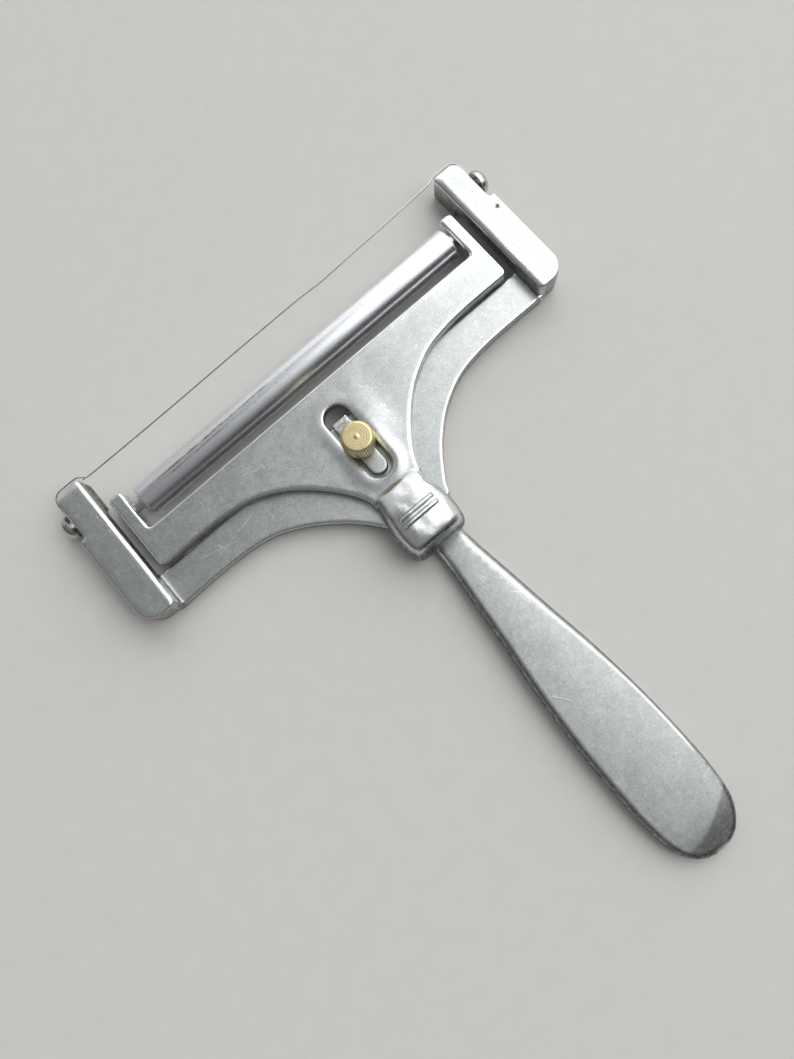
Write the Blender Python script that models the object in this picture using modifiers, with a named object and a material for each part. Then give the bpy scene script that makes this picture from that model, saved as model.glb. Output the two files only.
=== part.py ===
"""Hand-held adjustable wire cheese slicer: frame, sliding roller carrier, roller, screws and wire.

Metres, +Z up. The origin is at the middle of the whole tool's length and width, on the surface it
rests on. +Y points from the handle to the wire, +X to the right arm. The dimensions below are in
millimetres, and their Y values count from a datum near the crossbar's front face.
"""
import math

import bmesh
import bpy
from mathutils import Matrix, Vector

MM = 0.001
GAP = 0.3                     # clearance between neighbouring pieces
DATUM_Y = 53.0                # the datum lies this far ahead of the origin

# Frame casting
FRONT_Y = -1.0                # front face of crossbar and boss
BAR_BOTTOM = 0.4              # the arms and the handle reach lower, to the table
BAR_TOP = 4.0
BAR_HALF = 63.0               # crossbar runs into the arms
ARM_INNER = 59.3
ARM_OUTER = 68.4
ARM_NOTCH_X = 66.8            # outer face ahead of the notch step
ARM_NOTCH_Y = 17.2
ARM_TIP_Y = 30.6
ARM_REAR_Y = -10.4
ARM_TOP = 8.8
LIP_Z = 4.4                   # underside of the lip over the arm's recess
RECESS_DEPTH = 1.2
RECESS_END_Y = 22.0
BOSS_HALF = 2.4
BOSS_REAR_Y = -19.0
BOSS_TOP = 6.5
SCREW_Y = -9.8                # thumb screw axis
STEM_HALF = 4.3
STEM_TOP = 3.9
HANDLE_X = 1.1                # the handle is cast a little off the middle

# Carrier casting
PLATE_BOTTOM = BAR_TOP + GAP
PLATE_TOP = 7.2
PLATE_FRONT_Y = 9.0
EAR_INNER = 53.2
EAR_OUTER = 57.1
EAR_TIP_Y = 21.4
EAR_BOTTOM = 1.6
EAR_ROOT_Y = 2.9              # the ears hang below the plate ahead of this line
SLOT_HALF = 3.5
SLOT_FRONT_Y = 2.4
SLOT_REAR_Y = -20.3
SADDLE_SPLIT_Y = -35.9        # skirts hang down behind this line
SADDLE_X = -0.6               # the saddle is cast a little off the middle
CHANNEL_HALF = 4.9
CHANNEL_ROOF = 5.7
SKIRT_BOTTOM = 0.8

# Roller
ROLLER_Y = 16.0
ROLLER_Z = 4.8
ROLLER_R = 4.45
ROLLER_BORE = 3.4
ROLLER_LEFT = -50.1
ROLLER_RIGHT = 51.6
HUB_R = 2.2
HUB_LENGTH = 1.0
PLUG_LENGTH = 5.0
AXLE_R = 1.45

# Thumb screw
KNOB_R = 4.15
KNOB_BOTTOM = PLATE_TOP + GAP
KNOB_TOP = 14.1
KNOB_TEETH = 40
KNURL_DEPTH = 0.22
SHANK_R = 1.8

# Wire and its screws
WIRE_R = 0.2
WIRE_Z = 8.1
WIRE_Y = 29.3
WIRE_SCREW_Y = {-1: 22.9, 1: 23.4}
WIRE_SCREW_Z = 4.9
WIRE_SCREW_SHANK_R = 1.5
WIRE_SCREW_HEAD_R = 3.3
WIRE_SCREW_SEAT = 68.0        # underside of the head
WIRE_SCREW_HEAD_H = 2.8
WIRE_SCREW_LENGTH = 6.0


def clear_scene():
    for obj in list(bpy.data.objects):
        bpy.data.objects.remove(obj, do_unlink=True)


def new_collection(name):
    coll = bpy.data.collections.new(name)
    bpy.context.scene.collection.children.link(coll)
    return coll


def new_material(name, colour, roughness, metallic):
    mat = bpy.data.materials.new(name)
    mat.use_nodes = True
    shader = mat.node_tree.nodes["Principled BSDF"]
    shader.inputs["Base Color"].default_value = (*colour, 1.0)
    shader.inputs["Roughness"].default_value = roughness
    shader.inputs["Metallic"].default_value = metallic
    return mat


def link_mesh(name, mesh, coll):
    obj = bpy.data.objects.new(name, mesh)
    coll.objects.link(obj)
    return obj


def evaluated_mesh(obj):
    bpy.context.view_layer.update()
    deps = bpy.context.evaluated_depsgraph_get()
    return bpy.data.meshes.new_from_object(obj.evaluated_get(deps))


def bake(obj):
    """Apply an object's modifiers to its mesh."""
    mesh = evaluated_mesh(obj)
    obj.modifiers.clear()
    obj.data = mesh
    return obj


def outline_solid(name, points, z0, z1, coll):
    """A flat closed outline in XY, extruded from z0 to z1 and welded into one mesh."""
    curve = bpy.data.curves.new(name + "_outline", "CURVE")
    curve.dimensions = "2D"
    curve.fill_mode = "BOTH"
    curve.extrude = (z1 - z0) * 0.5 * MM
    spline = curve.splines.new("POLY")
    spline.points.add(len(points) - 1)
    for point, (x, y) in zip(spline.points, points):
        point.co = (x * MM, y * MM, 0.0, 1.0)
    spline.use_cyclic_u = True
    source = bpy.data.objects.new(name + "_outline", curve)
    source.location.z = (z0 + z1) * 0.5 * MM
    coll.objects.link(source)
    mesh = evaluated_mesh(source)
    bm = bmesh.new()
    bm.from_mesh(mesh)
    bmesh.ops.remove_doubles(bm, verts=bm.verts, dist=1e-6)
    bmesh.ops.dissolve_limit(bm, angle_limit=math.radians(0.5), verts=bm.verts, edges=bm.edges)
    bmesh.ops.recalc_face_normals(bm, faces=bm.faces)
    bm.to_mesh(mesh)
    bm.free()
    mesh.transform(source.matrix_world)
    bpy.data.objects.remove(source, do_unlink=True)
    return link_mesh(name, mesh, coll)


def box(name, low, high, coll):
    bm = bmesh.new()
    bmesh.ops.create_cube(bm, size=1.0)
    size = [(b - a) * MM for a, b in zip(low, high)]
    centre = [(b + a) * 0.5 * MM for a, b in zip(low, high)]
    bmesh.ops.scale(bm, vec=size, verts=bm.verts)
    bmesh.ops.translate(bm, vec=centre, verts=bm.verts)
    mesh = bpy.data.meshes.new(name)
    bm.to_mesh(mesh)
    bm.free()
    return link_mesh(name, mesh, coll)


def turned(name, profile, steps, coll):
    """A solid of revolution about +Z from (radius, z) pairs that run from the top down the outside."""
    closed = profile[0] == profile[-1]
    verts = [(r * MM, 0.0, z * MM) for r, z in (profile[:-1] if closed else profile)]
    edges = [(i, i + 1) for i in range(len(verts) - 1)]
    if closed:
        edges.append((len(verts) - 1, 0))
    mesh = bpy.data.meshes.new(name)
    mesh.from_pydata(verts, edges, [])
    obj = link_mesh(name, mesh, coll)
    screw = obj.modifiers.new("Screw", "SCREW")
    screw.axis = "Z"
    screw.angle = 2.0 * math.pi
    screw.steps = steps
    screw.render_steps = steps
    screw.use_merge_vertices = True
    screw.merge_threshold = 0.00001
    screw.use_smooth_shade = True
    return obj


def bevel(obj, width, segments=2, angle=40.0):
    mod = obj.modifiers.new("Bevel", "BEVEL")
    mod.width = width * MM
    mod.segments = segments
    mod.limit_method = "ANGLE"
    mod.angle_limit = math.radians(angle)
    mod.use_clamp_overlap = True


def combine(obj, other, operation):
    """Boolean of obj with other; other is used up."""
    mod = obj.modifiers.new("Boolean", "BOOLEAN")
    mod.operation = operation
    mod.solver = "EXACT"
    mod.object = other
    bake(obj)
    bpy.data.objects.remove(other, do_unlink=True)


def finish(obj, material, origin=(0.0, 0.0, 0.0), angle=35.0):
    """Place the piece by its origin, and give it its material and smooth shading."""
    bake(obj)
    offset = Vector(origin) * MM
    obj.data.transform(Matrix.Translation(-offset))
    obj.location = offset + Vector((0.0, DATUM_Y, 0.0)) * MM
    obj.data.materials.clear()
    obj.data.materials.append(material)
    obj.data.shade_smooth()
    obj.data.set_sharp_from_angle(angle=math.radians(angle))
    obj.data.name = obj.name


def smooth_path(points, per_span):
    """Catmull-Rom points through the given ones, end points included."""
    ends = [points[0]] + list(points) + [points[-1]]
    out = []
    for i in range(1, len(ends) - 2):
        p0, p1, p2, p3 = (Vector(p) for p in ends[i - 1:i + 3])
        for k in range(per_span):
            t = k / per_span
            a = 2.0 * p1
            b = (p2 - p0) * t
            c = (2.0 * p0 - 5.0 * p1 + 4.0 * p2 - p3) * t * t
            d = (3.0 * p1 - 3.0 * p2 + p3 - p0) * t * t * t
            out.append(tuple((a + b + c + d) * 0.5))
    out.append(tuple(points[-1]))
    return out


def arc(cx, cy, radius, start, end, count):
    out = []
    for k in range(count + 1):
        a = math.radians(start + (end - start) * k / count)
        out.append((cx + radius * math.cos(a), cy + radius * math.sin(a)))
    return out


def mirrored(half):
    """Close an outline whose right half runs from the front centre line to the rear one."""
    return half + [(-x, y) for x, y in reversed(half) if x > 0.001]


def drift(points):
    """Let the neck of the frame drift sideways to where the handle starts."""
    out = []
    for x, y in points:
        t = min(1.0, max(0.0, (-12.0 - y) / 18.0))
        out.append((x + HANDLE_X * t * t * (3.0 - 2.0 * t), y))
    return out


def obround(y0, y1, half, count=14):
    top = arc(0.0, y0 - half, half, 0.0, 180.0, count)
    bottom = arc(0.0, y1 + half, half, 180.0, 360.0, count)
    return top + bottom


def x_cylinder(name, x0, x1, y, z, radius, segments, coll):
    bm = bmesh.new()
    bmesh.ops.create_cone(bm, cap_ends=True, segments=segments, radius1=radius * MM,
                          radius2=radius * MM, depth=(x1 - x0) * MM)
    turn = Matrix.Rotation(math.radians(90.0), 4, "Y")
    place = Matrix.Translation(Vector(((x0 + x1) * 0.5, y, z)) * MM)
    bmesh.ops.transform(bm, matrix=place @ turn, verts=bm.verts)
    mesh = bpy.data.meshes.new(name)
    bm.to_mesh(mesh)
    bm.free()
    return link_mesh(name, mesh, coll)


def z_cylinder(name, z0, z1, x, y, radius, segments, coll):
    bm = bmesh.new()
    bmesh.ops.create_cone(bm, cap_ends=True, segments=segments, radius1=radius * MM,
                          radius2=radius * MM, depth=(z1 - z0) * MM)
    bmesh.ops.translate(bm, vec=Vector((x, y, (z0 + z1) * 0.5)) * MM, verts=bm.verts)
    mesh = bpy.data.meshes.new(name)
    bm.to_mesh(mesh)
    bm.free()
    return link_mesh(name, mesh, coll)


def loft(name, sections, coll):
    """Skin closed sections of equal point count, given from front to rear, and cap both ends."""
    bm = bmesh.new()
    rings = [[bm.verts.new(Vector(p) * MM) for p in section] for section in sections]
    count = len(rings[0])
    for a, b in zip(rings, rings[1:]):
        for i in range(count):
            j = (i + 1) % count
            bm.faces.new((a[i], a[j], b[j], b[i]))
    bm.faces.new(rings[0])
    bm.faces.new(list(reversed(rings[-1])))
    bmesh.ops.recalc_face_normals(bm, faces=bm.faces)
    mesh = bpy.data.meshes.new(name)
    bm.to_mesh(mesh)
    bm.free()
    return link_mesh(name, mesh, coll)


def interpolate(stations, y):
    """Smooth values between hand-set stations (y falling, then the values)."""
    path = smooth_path(stations, 8)
    for a, b in zip(path, path[1:]):
        if a[0] >= y >= b[0]:
            t = 0.0 if a[0] == b[0] else (a[0] - y) / (a[0] - b[0])
            return tuple(p + (q - p) * t for p, q in zip(a[1:], b[1:]))
    return path[-1][1:]


def handle_section(y, half, height):
    """Flat bar with rounded edges: small radius below, larger bevelled shoulder above."""
    r_top = min(1.5, half * 0.6, height * 0.42)
    r_low = min(1.0, half * 0.5, height * 0.3)
    pts = []
    pts += arc(half - r_top, height - r_top, r_top, 0.0, 90.0, 4)
    pts += arc(-half + r_top, height - r_top, r_top, 90.0, 180.0, 4)
    pts += arc(-half + r_low, r_low, r_low, 180.0, 270.0, 3)
    pts += arc(half - r_low, r_low, r_low, 270.0, 360.0, 3)
    return [(x + HANDLE_X, y, z) for x, z in pts]


def saddle_section(y, half, top):
    """Domed section with upright sides, closed by a flat underside."""
    pts = [(SADDLE_X + half, y, SKIRT_BOTTOM)]
    steps = 16
    waist = 3.6
    for k in range(steps + 1):
        a = math.pi * k / steps
        c = math.cos(a)
        s = math.sin(a)
        x = half * math.copysign(abs(c) ** 0.72, c)
        z = waist + (top - waist) * s ** 0.72
        pts.append((SADDLE_X + x, y, z))
    pts.append((SADDLE_X - half, y, SKIRT_BOTTOM))
    return pts


# Handle stations: y, half width, height of the flat top.
HANDLE_STATIONS = [
    (-32.0, STEM_HALF - 0.1, STEM_TOP),
    (-40.4, STEM_HALF - 0.1, STEM_TOP),
    (-45.0, 4.5, 4.6),
    (-50.0, 5.0, 5.2),
    (-58.0, 6.0, 5.7),
    (-70.0, 7.4, 6.0),
    (-84.0, 9.2, 6.0),
    (-100.0, 10.45, 5.9),
    (-116.0, 10.8, 5.6),
    (-125.0, 10.3, 5.2),
    (-130.5, 9.2, 4.9),
    (-134.3, 7.0, 4.5),
    (-136.4, 4.6, 4.2),
    (-137.3, 2.0, 4.0),
]
HANDLE_SPANS = 4

# Saddle stations: y, half width, crown height.
SADDLE_STATIONS = [
    (-23.0, 5.9, 8.2),
    (-24.4, 6.4, 9.3),
    (-28.7, 7.6, 10.8),
    (-33.0, 8.4, 11.3),
    (-37.0, 8.6, 11.1),
    (-39.6, 8.3, 10.3),
    (-41.0, 7.9, 9.4),
    (-42.0, 7.4, 8.2),
]


def frame_outline():
    rear = [(58.0, -10.9), (44.5, -10.9), (36.2, -11.5), (30.2, -12.9), (24.7, -15.5),
            (20.5, -18.3), (16.5, -21.7), (13.4, -24.9), (10.7, -28.4), (9.1, -31.3)]
    half = [(0.0, FRONT_Y), (BAR_HALF, FRONT_Y), (BAR_HALF, -10.9)]
    half += smooth_path(rear, 3)
    half += [(8.5, -32.9), (6.6, -34.2), (STEM_HALF, -34.6), (0.0, -34.6)]
    return drift(mirrored(half))


def arm_outline(side):
    pts = []
    pts += arc(ARM_INNER + 0.9, ARM_REAR_Y + 0.9, 0.9, 180.0, 270.0, 4)
    pts += arc(ARM_OUTER - 5.0, ARM_REAR_Y + 5.0, 5.0, 270.0, 360.0, 8)
    pts += arc(ARM_OUTER - 0.8, ARM_NOTCH_Y - 0.8, 0.8, 0.0, 90.0, 4)
    pts += [(ARM_NOTCH_X, ARM_NOTCH_Y)]
    pts += arc(ARM_NOTCH_X - 2.0, ARM_TIP_Y - 2.0, 2.0, 0.0, 90.0, 6)
    pts += arc(ARM_INNER + 0.6, ARM_TIP_Y - 0.6, 0.6, 90.0, 180.0, 4)
    if side < 0:
        pts = [(-x, y) for x, y in reversed(pts)]
    return pts


def build_frame(coll, tools, material):
    frame = outline_solid("frame_casting", frame_outline(), BAR_BOTTOM, BAR_TOP, coll)
    bevel(frame, 1.1, 3, 50.0)
    bake(frame)
    for side in (-1, 1):
        arm = outline_solid("arm", arm_outline(side), 0.0, ARM_TOP, tools)
        bevel(arm, 1.0, 3, 50.0)
        bake(arm)
        low = (ARM_INNER - 1.0, FRONT_Y + 0.2, -1.0)
        high = (ARM_INNER + RECESS_DEPTH, RECESS_END_Y, LIP_Z)
        if side < 0:
            low, high = (-high[0], low[1], low[2]), (-low[0], high[1], high[2])
        combine(arm, box("recess", low, high, tools), "DIFFERENCE")
        inner_x = side * (WIRE_SCREW_SEAT - GAP - WIRE_SCREW_LENGTH - 1.0)
        outer_x = side * (ARM_NOTCH_X + 1.0)
        hole = x_cylinder("screw_hole", min(inner_x, outer_x), max(inner_x, outer_x),
                          WIRE_SCREW_Y[side], WIRE_SCREW_Z, WIRE_SCREW_SHANK_R + GAP, 24, tools)
        combine(arm, hole, "DIFFERENCE")
        combine(frame, arm, "UNION")
    boss_front = FRONT_Y - 0.02
    boss_points = arc(0.0, BOSS_REAR_Y + BOSS_HALF, BOSS_HALF, 180.0, 360.0, 12)
    boss_points += arc(BOSS_HALF - 0.9, boss_front - 0.9, 0.9, 0.0, 90.0, 3)
    boss_points += arc(-BOSS_HALF + 0.9, boss_front - 0.9, 0.9, 90.0, 180.0, 3)
    boss = outline_solid("boss", boss_points, BAR_TOP - 1.5, BOSS_TOP, tools)
    bevel(boss, 0.35, 1, 50.0)
    bake(boss)
    combine(frame, boss, "UNION")
    tapped = z_cylinder("tapped_hole", -1.0, BOSS_TOP + 1.0, 0.0, SCREW_Y, SHANK_R + GAP, 24, tools)
    combine(frame, tapped, "DIFFERENCE")
    ys = [p[0] for p in smooth_path(HANDLE_STATIONS, HANDLE_SPANS)]
    sections = [handle_section(y, *interpolate(HANDLE_STATIONS, y)) for y in ys]
    combine(frame, loft("handle", sections, tools), "UNION")
    finish(frame, material)
    return frame


def carrier_outline():
    half = [(0.0, PLATE_FRONT_Y)]
    half += arc(EAR_INNER - 1.0, PLATE_FRONT_Y + 1.0, 1.0, 270.0, 360.0, 4)
    half += list(reversed(arc(EAR_INNER + 1.0, EAR_TIP_Y - 1.0, 1.0, 90.0, 180.0, 4)))
    half += list(reversed(arc(EAR_OUTER - 1.2, EAR_TIP_Y - 1.2, 1.2, 0.0, 90.0, 4)))
    half += list(reversed(arc(EAR_OUTER - 1.8, 0.9, 1.8, 270.0, 360.0, 5)))
    rear = [(54.0, -0.9), (43.6, -0.9), (35.8, -1.4), (28.6, -2.9), (21.9, -6.3), (17.3, -9.9),
            (13.7, -13.6), (11.0, -17.0), (9.0, -20.0), (7.6, -23.0), (6.0, -27.0)]
    half += smooth_path(rear, 3)
    half += [(0.0, -27.0)]
    return mirrored(half)


def build_carrier(coll, tools, material):
    carrier = outline_solid("carrier_casting", carrier_outline(), EAR_BOTTOM, PLATE_TOP, coll)
    bevel(carrier, 0.9, 3, 50.0)
    bake(carrier)
    behind = box("behind", (-70.0, -60.0, -1.0), (70.0, EAR_ROOT_Y, PLATE_BOTTOM), tools)
    combine(carrier, behind, "DIFFERENCE")
    web = box("web", (-EAR_INNER + 1.3, -5.0, -1.0), (EAR_INNER - 1.3, 30.0, PLATE_BOTTOM), tools)
    combine(carrier, web, "DIFFERENCE")
    for side in (-1, 1):
        c = side * (EAR_INNER - 2.0)
        d = side * (EAR_OUTER + 2.0)
        hole = x_cylinder("axle_hole", min(c, d), max(c, d), ROLLER_Y, ROLLER_Z,
                          AXLE_R + GAP, 24, tools)
        combine(carrier, hole, "DIFFERENCE")
    sections = [saddle_section(*s) for s in smooth_path(SADDLE_STATIONS, 3)]
    saddle = loft("saddle", sections, tools)
    seat = box("seat", (-20.0, SADDLE_SPLIT_Y, -1.0), (20.0, -20.0, PLATE_BOTTOM + 0.1), tools)
    combine(saddle, seat, "DIFFERENCE")
    channel = box("channel", (HANDLE_X - CHANNEL_HALF, -45.0, -1.0),
                  (HANDLE_X + CHANNEL_HALF, SADDLE_SPLIT_Y + 0.01, CHANNEL_ROOF), tools)
    combine(saddle, channel, "DIFFERENCE")
    combine(carrier, saddle, "UNION")
    for y in (-31.9, -33.8):
        rib = box("rib", (SADDLE_X - 5.7, y - 0.5, 9.4), (SADDLE_X + 5.7, y + 0.5, 11.9), tools)
        bevel(rib, 0.3, 2, 50.0)
        bake(rib)
        combine(carrier, rib, "UNION")
    slot = outline_solid("slot", obround(SLOT_FRONT_Y, SLOT_REAR_Y, SLOT_HALF),
                         0.0, PLATE_TOP + 5.0, tools)
    combine(carrier, slot, "DIFFERENCE")
    finish(carrier, material)
    return carrier


def build_roller(coll, steel, axle_steel):
    length = ROLLER_RIGHT - ROLLER_LEFT
    edge = 0.3
    profile = [(ROLLER_BORE, length), (ROLLER_R - edge, length), (ROLLER_R, length - edge),
               (ROLLER_R, edge), (ROLLER_R - edge, 0.0), (ROLLER_BORE, 0.0), (ROLLER_BORE, length)]
    tube = turned("roller_tube", profile, 48, coll)
    bake(tube)
    to_x = Matrix.Rotation(math.radians(90.0), 4, "Y")
    tube.data.transform(to_x)
    tube.data.transform(Matrix.Translation(Vector((ROLLER_LEFT, ROLLER_Y, ROLLER_Z)) * MM))
    finish(tube, steel, (0.0, ROLLER_Y, ROLLER_Z))
    bore = AXLE_R + GAP
    for name, side, end in (("roller_plug_left", -1, ROLLER_LEFT), ("roller_plug_right", 1, ROLLER_RIGHT)):
        profile = [(bore, HUB_LENGTH), (HUB_R - 0.15, HUB_LENGTH), (HUB_R, HUB_LENGTH - 0.15),
                   (HUB_R, 0.0), (ROLLER_BORE - GAP, 0.0), (ROLLER_BORE - GAP, -PLUG_LENGTH),
                   (bore, -PLUG_LENGTH), (bore, HUB_LENGTH)]
        plug = turned(name, profile, 32, coll)
        bake(plug)
        plug.data.transform(Matrix.Rotation(math.radians(90.0 * side), 4, "Y"))
        plug.data.transform(Matrix.Translation(Vector((end, ROLLER_Y, ROLLER_Z)) * MM))
        finish(plug, axle_steel, (0.0, ROLLER_Y, ROLLER_Z))
    axle = x_cylinder("roller_axle", -EAR_OUTER + 0.3, EAR_OUTER - 0.3, ROLLER_Y, ROLLER_Z,
                      AXLE_R, 24, coll)
    bevel(axle, 0.3, 1, 50.0)
    finish(axle, axle_steel, (0.0, ROLLER_Y, ROLLER_Z))


def build_thumb_screw(coll, material):
    r = KNOB_R
    profile = [(0.0, KNOB_TOP + 0.25), (0.5, KNOB_TOP + 0.1), (0.8, KNOB_TOP - 0.05),
               (r - 0.55, KNOB_TOP - 0.2), (r - 0.2, KNOB_TOP - 0.45), (r, KNOB_TOP - 0.75),
               (r, KNOB_BOTTOM + 0.5), (r - 0.45, KNOB_BOTTOM), (SHANK_R, KNOB_BOTTOM),
               (SHANK_R, 1.0), (SHANK_R - 0.4, 0.6), (0.0, 0.6)]
    knob = turned("thumb_screw", profile, 2 * KNOB_TEETH, coll)
    bake(knob)
    for vert in knob.data.vertices:
        radius = math.hypot(vert.co.x, vert.co.y)
        if radius < (r - 0.05) * MM:
            continue
        turn = math.atan2(vert.co.y, vert.co.x) / (2.0 * math.pi) * 2 * KNOB_TEETH
        if round(turn) % 2:
            shrink = 1.0 - KNURL_DEPTH * MM / radius
            vert.co.x *= shrink
            vert.co.y *= shrink
    knob.data.transform(Matrix.Translation(Vector((0.0, SCREW_Y, 0.0)) * MM))
    finish(knob, material, (0.0, SCREW_Y, 0.0), 50.0)


def build_wire_screws(coll, tools, material):
    for name, side in (("wire_screw_left", -1), ("wire_screw_right", 1)):
        head = []
        for k in range(7):
            a = math.radians(90.0 * k / 6)
            head.append((WIRE_SCREW_HEAD_R * math.sin(a), WIRE_SCREW_HEAD_H * math.cos(a) ** 0.8))
        profile = head[:-1] + [(WIRE_SCREW_HEAD_R, 0.35), (WIRE_SCREW_HEAD_R - 0.15, 0.0),
                               (WIRE_SCREW_SHANK_R, 0.0), (WIRE_SCREW_SHANK_R, -WIRE_SCREW_LENGTH),
                               (0.0, -WIRE_SCREW_LENGTH)]
        screw = turned(name, profile, 32, coll)
        bake(screw)
        drive = box("drive", (-5.0, -0.4, WIRE_SCREW_HEAD_H - 0.9), (5.0, 0.4, 5.0), tools)
        combine(screw, drive, "DIFFERENCE")
        screw.data.transform(Matrix.Rotation(math.radians(32.0), 4, "Z"))
        screw.data.transform(Matrix.Rotation(math.radians(90.0 * side), 4, "Y"))
        seat = Vector((side * WIRE_SCREW_SEAT, WIRE_SCREW_Y[side], WIRE_SCREW_Z))
        screw.data.transform(Matrix.Translation(seat * MM))
        finish(screw, material, tuple(seat))


def wire_end(side):
    """From the inner tip corner round the tip, down the outer face and round the screw shank."""
    clear = WIRE_R + GAP
    front = ARM_TIP_Y + clear
    outer = ARM_NOTCH_X + clear
    loop_r = WIRE_SCREW_SHANK_R + GAP + WIRE_R
    pts = [(ARM_INNER + 0.1, front - 0.1, WIRE_Z), (ARM_INNER + 1.5, front, WIRE_Z),
           (ARM_NOTCH_X - 2.0, front, WIRE_Z)]
    for k in range(1, 5):
        a = math.radians(90.0 - 90.0 * k / 4)
        reach = 2.0 + clear
        pts.append((ARM_NOTCH_X - 2.0 + reach * math.cos(a), ARM_TIP_Y - 2.0 + reach * math.sin(a),
                    WIRE_Z - 0.25 * k))
    start = 62.0
    sweep = -290.0
    count = 16
    for k in range(count + 1):
        a = math.radians(start + sweep * k / count)
        y = WIRE_SCREW_Y[side] + loop_r * math.cos(a)
        pts.append((outer, y, WIRE_SCREW_Z + loop_r * math.sin(a)))
    return [(side * x, y, z) for x, y, z in pts]


def build_wire(coll, material):
    span = [(-57.6, 29.7, WIRE_Z), (-56.0, WIRE_Y - 0.1, WIRE_Z), (-30.0, WIRE_Y - 0.2, WIRE_Z),
            (-8.0, WIRE_Y, WIRE_Z), (12.5, WIRE_Y, WIRE_Z), (19.5, WIRE_Y - 0.35, WIRE_Z),
            (30.0, WIRE_Y, WIRE_Z), (44.5, WIRE_Y + 0.4, WIRE_Z), (57.6, 30.3, WIRE_Z)]
    points = list(reversed(wire_end(-1))) + smooth_path(span, 2) + wire_end(1)
    curve = bpy.data.curves.new("cutting_wire", "CURVE")
    curve.dimensions = "3D"
    curve.bevel_depth = WIRE_R * MM
    curve.bevel_resolution = 2
    curve.use_fill_caps = True
    spline = curve.splines.new("POLY")
    spline.points.add(len(points) - 1)
    for point, co in zip(spline.points, points):
        point.co = (*(v * MM for v in co), 1.0)
    source = bpy.data.objects.new("wire_route", curve)
    coll.objects.link(source)
    mesh = evaluated_mesh(source)
    bm = bmesh.new()
    bm.from_mesh(mesh)
    bmesh.ops.remove_doubles(bm, verts=bm.verts, dist=1e-6)
    bmesh.ops.recalc_face_normals(bm, faces=bm.faces)
    bm.to_mesh(mesh)
    bm.free()
    bpy.data.objects.remove(source, do_unlink=True)
    wire = link_mesh("cutting_wire", mesh, coll)
    finish(wire, material, angle=60.0)


def main():
    clear_scene()
    parts = new_collection("cheese_wire_cutter")
    tools = new_collection("cutters")
    cast = new_material("cast_aluminium", (0.56, 0.58, 0.58), 0.38, 1.0)
    plate = new_material("cast_aluminium_plate", (0.58, 0.60, 0.60), 0.36, 1.0)
    polished = new_material("polished_roller", (0.70, 0.71, 0.73), 0.16, 1.0)
    steel = new_material("steel", (0.55, 0.55, 0.54), 0.3, 1.0)
    brass = new_material("brass", (0.62, 0.52, 0.30), 0.36, 1.0)
    wire = new_material("wire_steel", (0.62, 0.62, 0.60), 0.3, 1.0)
    build_frame(parts, tools, cast)
    build_carrier(parts, tools, plate)
    build_roller(parts, polished, steel)
    build_thumb_screw(parts, brass)
    build_wire_screws(parts, tools, steel)
    build_wire(parts, wire)


main()
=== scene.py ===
"""Looks of the adjustable wire cheese slicer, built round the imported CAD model.

Shapes are given in millimetres in the CAD model's own axes: X to the right arm, Y from the handle to the
wire with its zero near the crossbar's front face, Z up from the table.
"""
import math

import bpy
import numpy as np
from mathutils import Matrix, Vector
from mathutils.geometry import delaunay_2d_cdt


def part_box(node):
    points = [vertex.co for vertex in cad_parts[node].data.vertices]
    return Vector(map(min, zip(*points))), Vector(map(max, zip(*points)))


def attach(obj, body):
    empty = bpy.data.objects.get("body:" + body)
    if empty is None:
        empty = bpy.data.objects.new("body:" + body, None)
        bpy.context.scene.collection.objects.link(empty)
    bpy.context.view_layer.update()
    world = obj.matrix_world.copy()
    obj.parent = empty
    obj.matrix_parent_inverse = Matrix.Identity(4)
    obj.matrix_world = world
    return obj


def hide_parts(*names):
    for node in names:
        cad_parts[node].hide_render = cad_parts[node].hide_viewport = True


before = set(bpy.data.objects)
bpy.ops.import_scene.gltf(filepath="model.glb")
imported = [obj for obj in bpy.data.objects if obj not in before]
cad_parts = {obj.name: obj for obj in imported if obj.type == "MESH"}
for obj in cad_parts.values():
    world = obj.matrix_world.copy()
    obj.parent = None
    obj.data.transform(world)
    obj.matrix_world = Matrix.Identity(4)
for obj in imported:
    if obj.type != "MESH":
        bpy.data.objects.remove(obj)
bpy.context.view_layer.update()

MM = 0.001
ARM_TIP_Y = 30.6
DATUM_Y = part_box("frame_casting")[1].y / MM - ARM_TIP_Y


# ---- outlines and distances

def arc(cx, cy, radius, start, end, count):
    angles = np.radians(np.linspace(start, end, count + 1))
    return [(cx + radius * math.cos(a), cy + radius * math.sin(a)) for a in angles]


def smooth_path(points, per_span):
    """Catmull-Rom points through the given ones, end points included."""
    p = np.array([points[0]] + list(points) + [points[-1]], float)
    out = []
    for i in range(1, len(p) - 2):
        for t in np.arange(per_span) / per_span:
            a = 2.0 * p[i]
            b = (p[i + 1] - p[i - 1]) * t
            c = (2.0 * p[i - 1] - 5.0 * p[i] + 4.0 * p[i + 1] - p[i + 2]) * t * t
            d = (3.0 * p[i] - 3.0 * p[i + 1] + p[i + 2] - p[i - 1]) * t * t * t
            out.append(tuple((a + b + c + d) * 0.5))
    out.append(tuple(points[-1]))
    return out


def mirrored(half):
    """Close an outline whose right half runs from the front centre line to the rear one."""
    return half + [(-x, y) for x, y in reversed(half) if x > 0.001]


def area(loop):
    x, y = loop[:, 0], loop[:, 1]
    return 0.5 * float(np.sum(x * np.roll(y, -1) - np.roll(x, -1) * y))


def wound(loop, way=1):
    """The loop running anticlockwise, or clockwise where way is -1."""
    return loop if area(loop) * way > 0 else loop[::-1]


def circle(radius):
    return np.array(arc(0.0, 0.0, radius, 0.0, 360.0, 96)[:-1])


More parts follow.
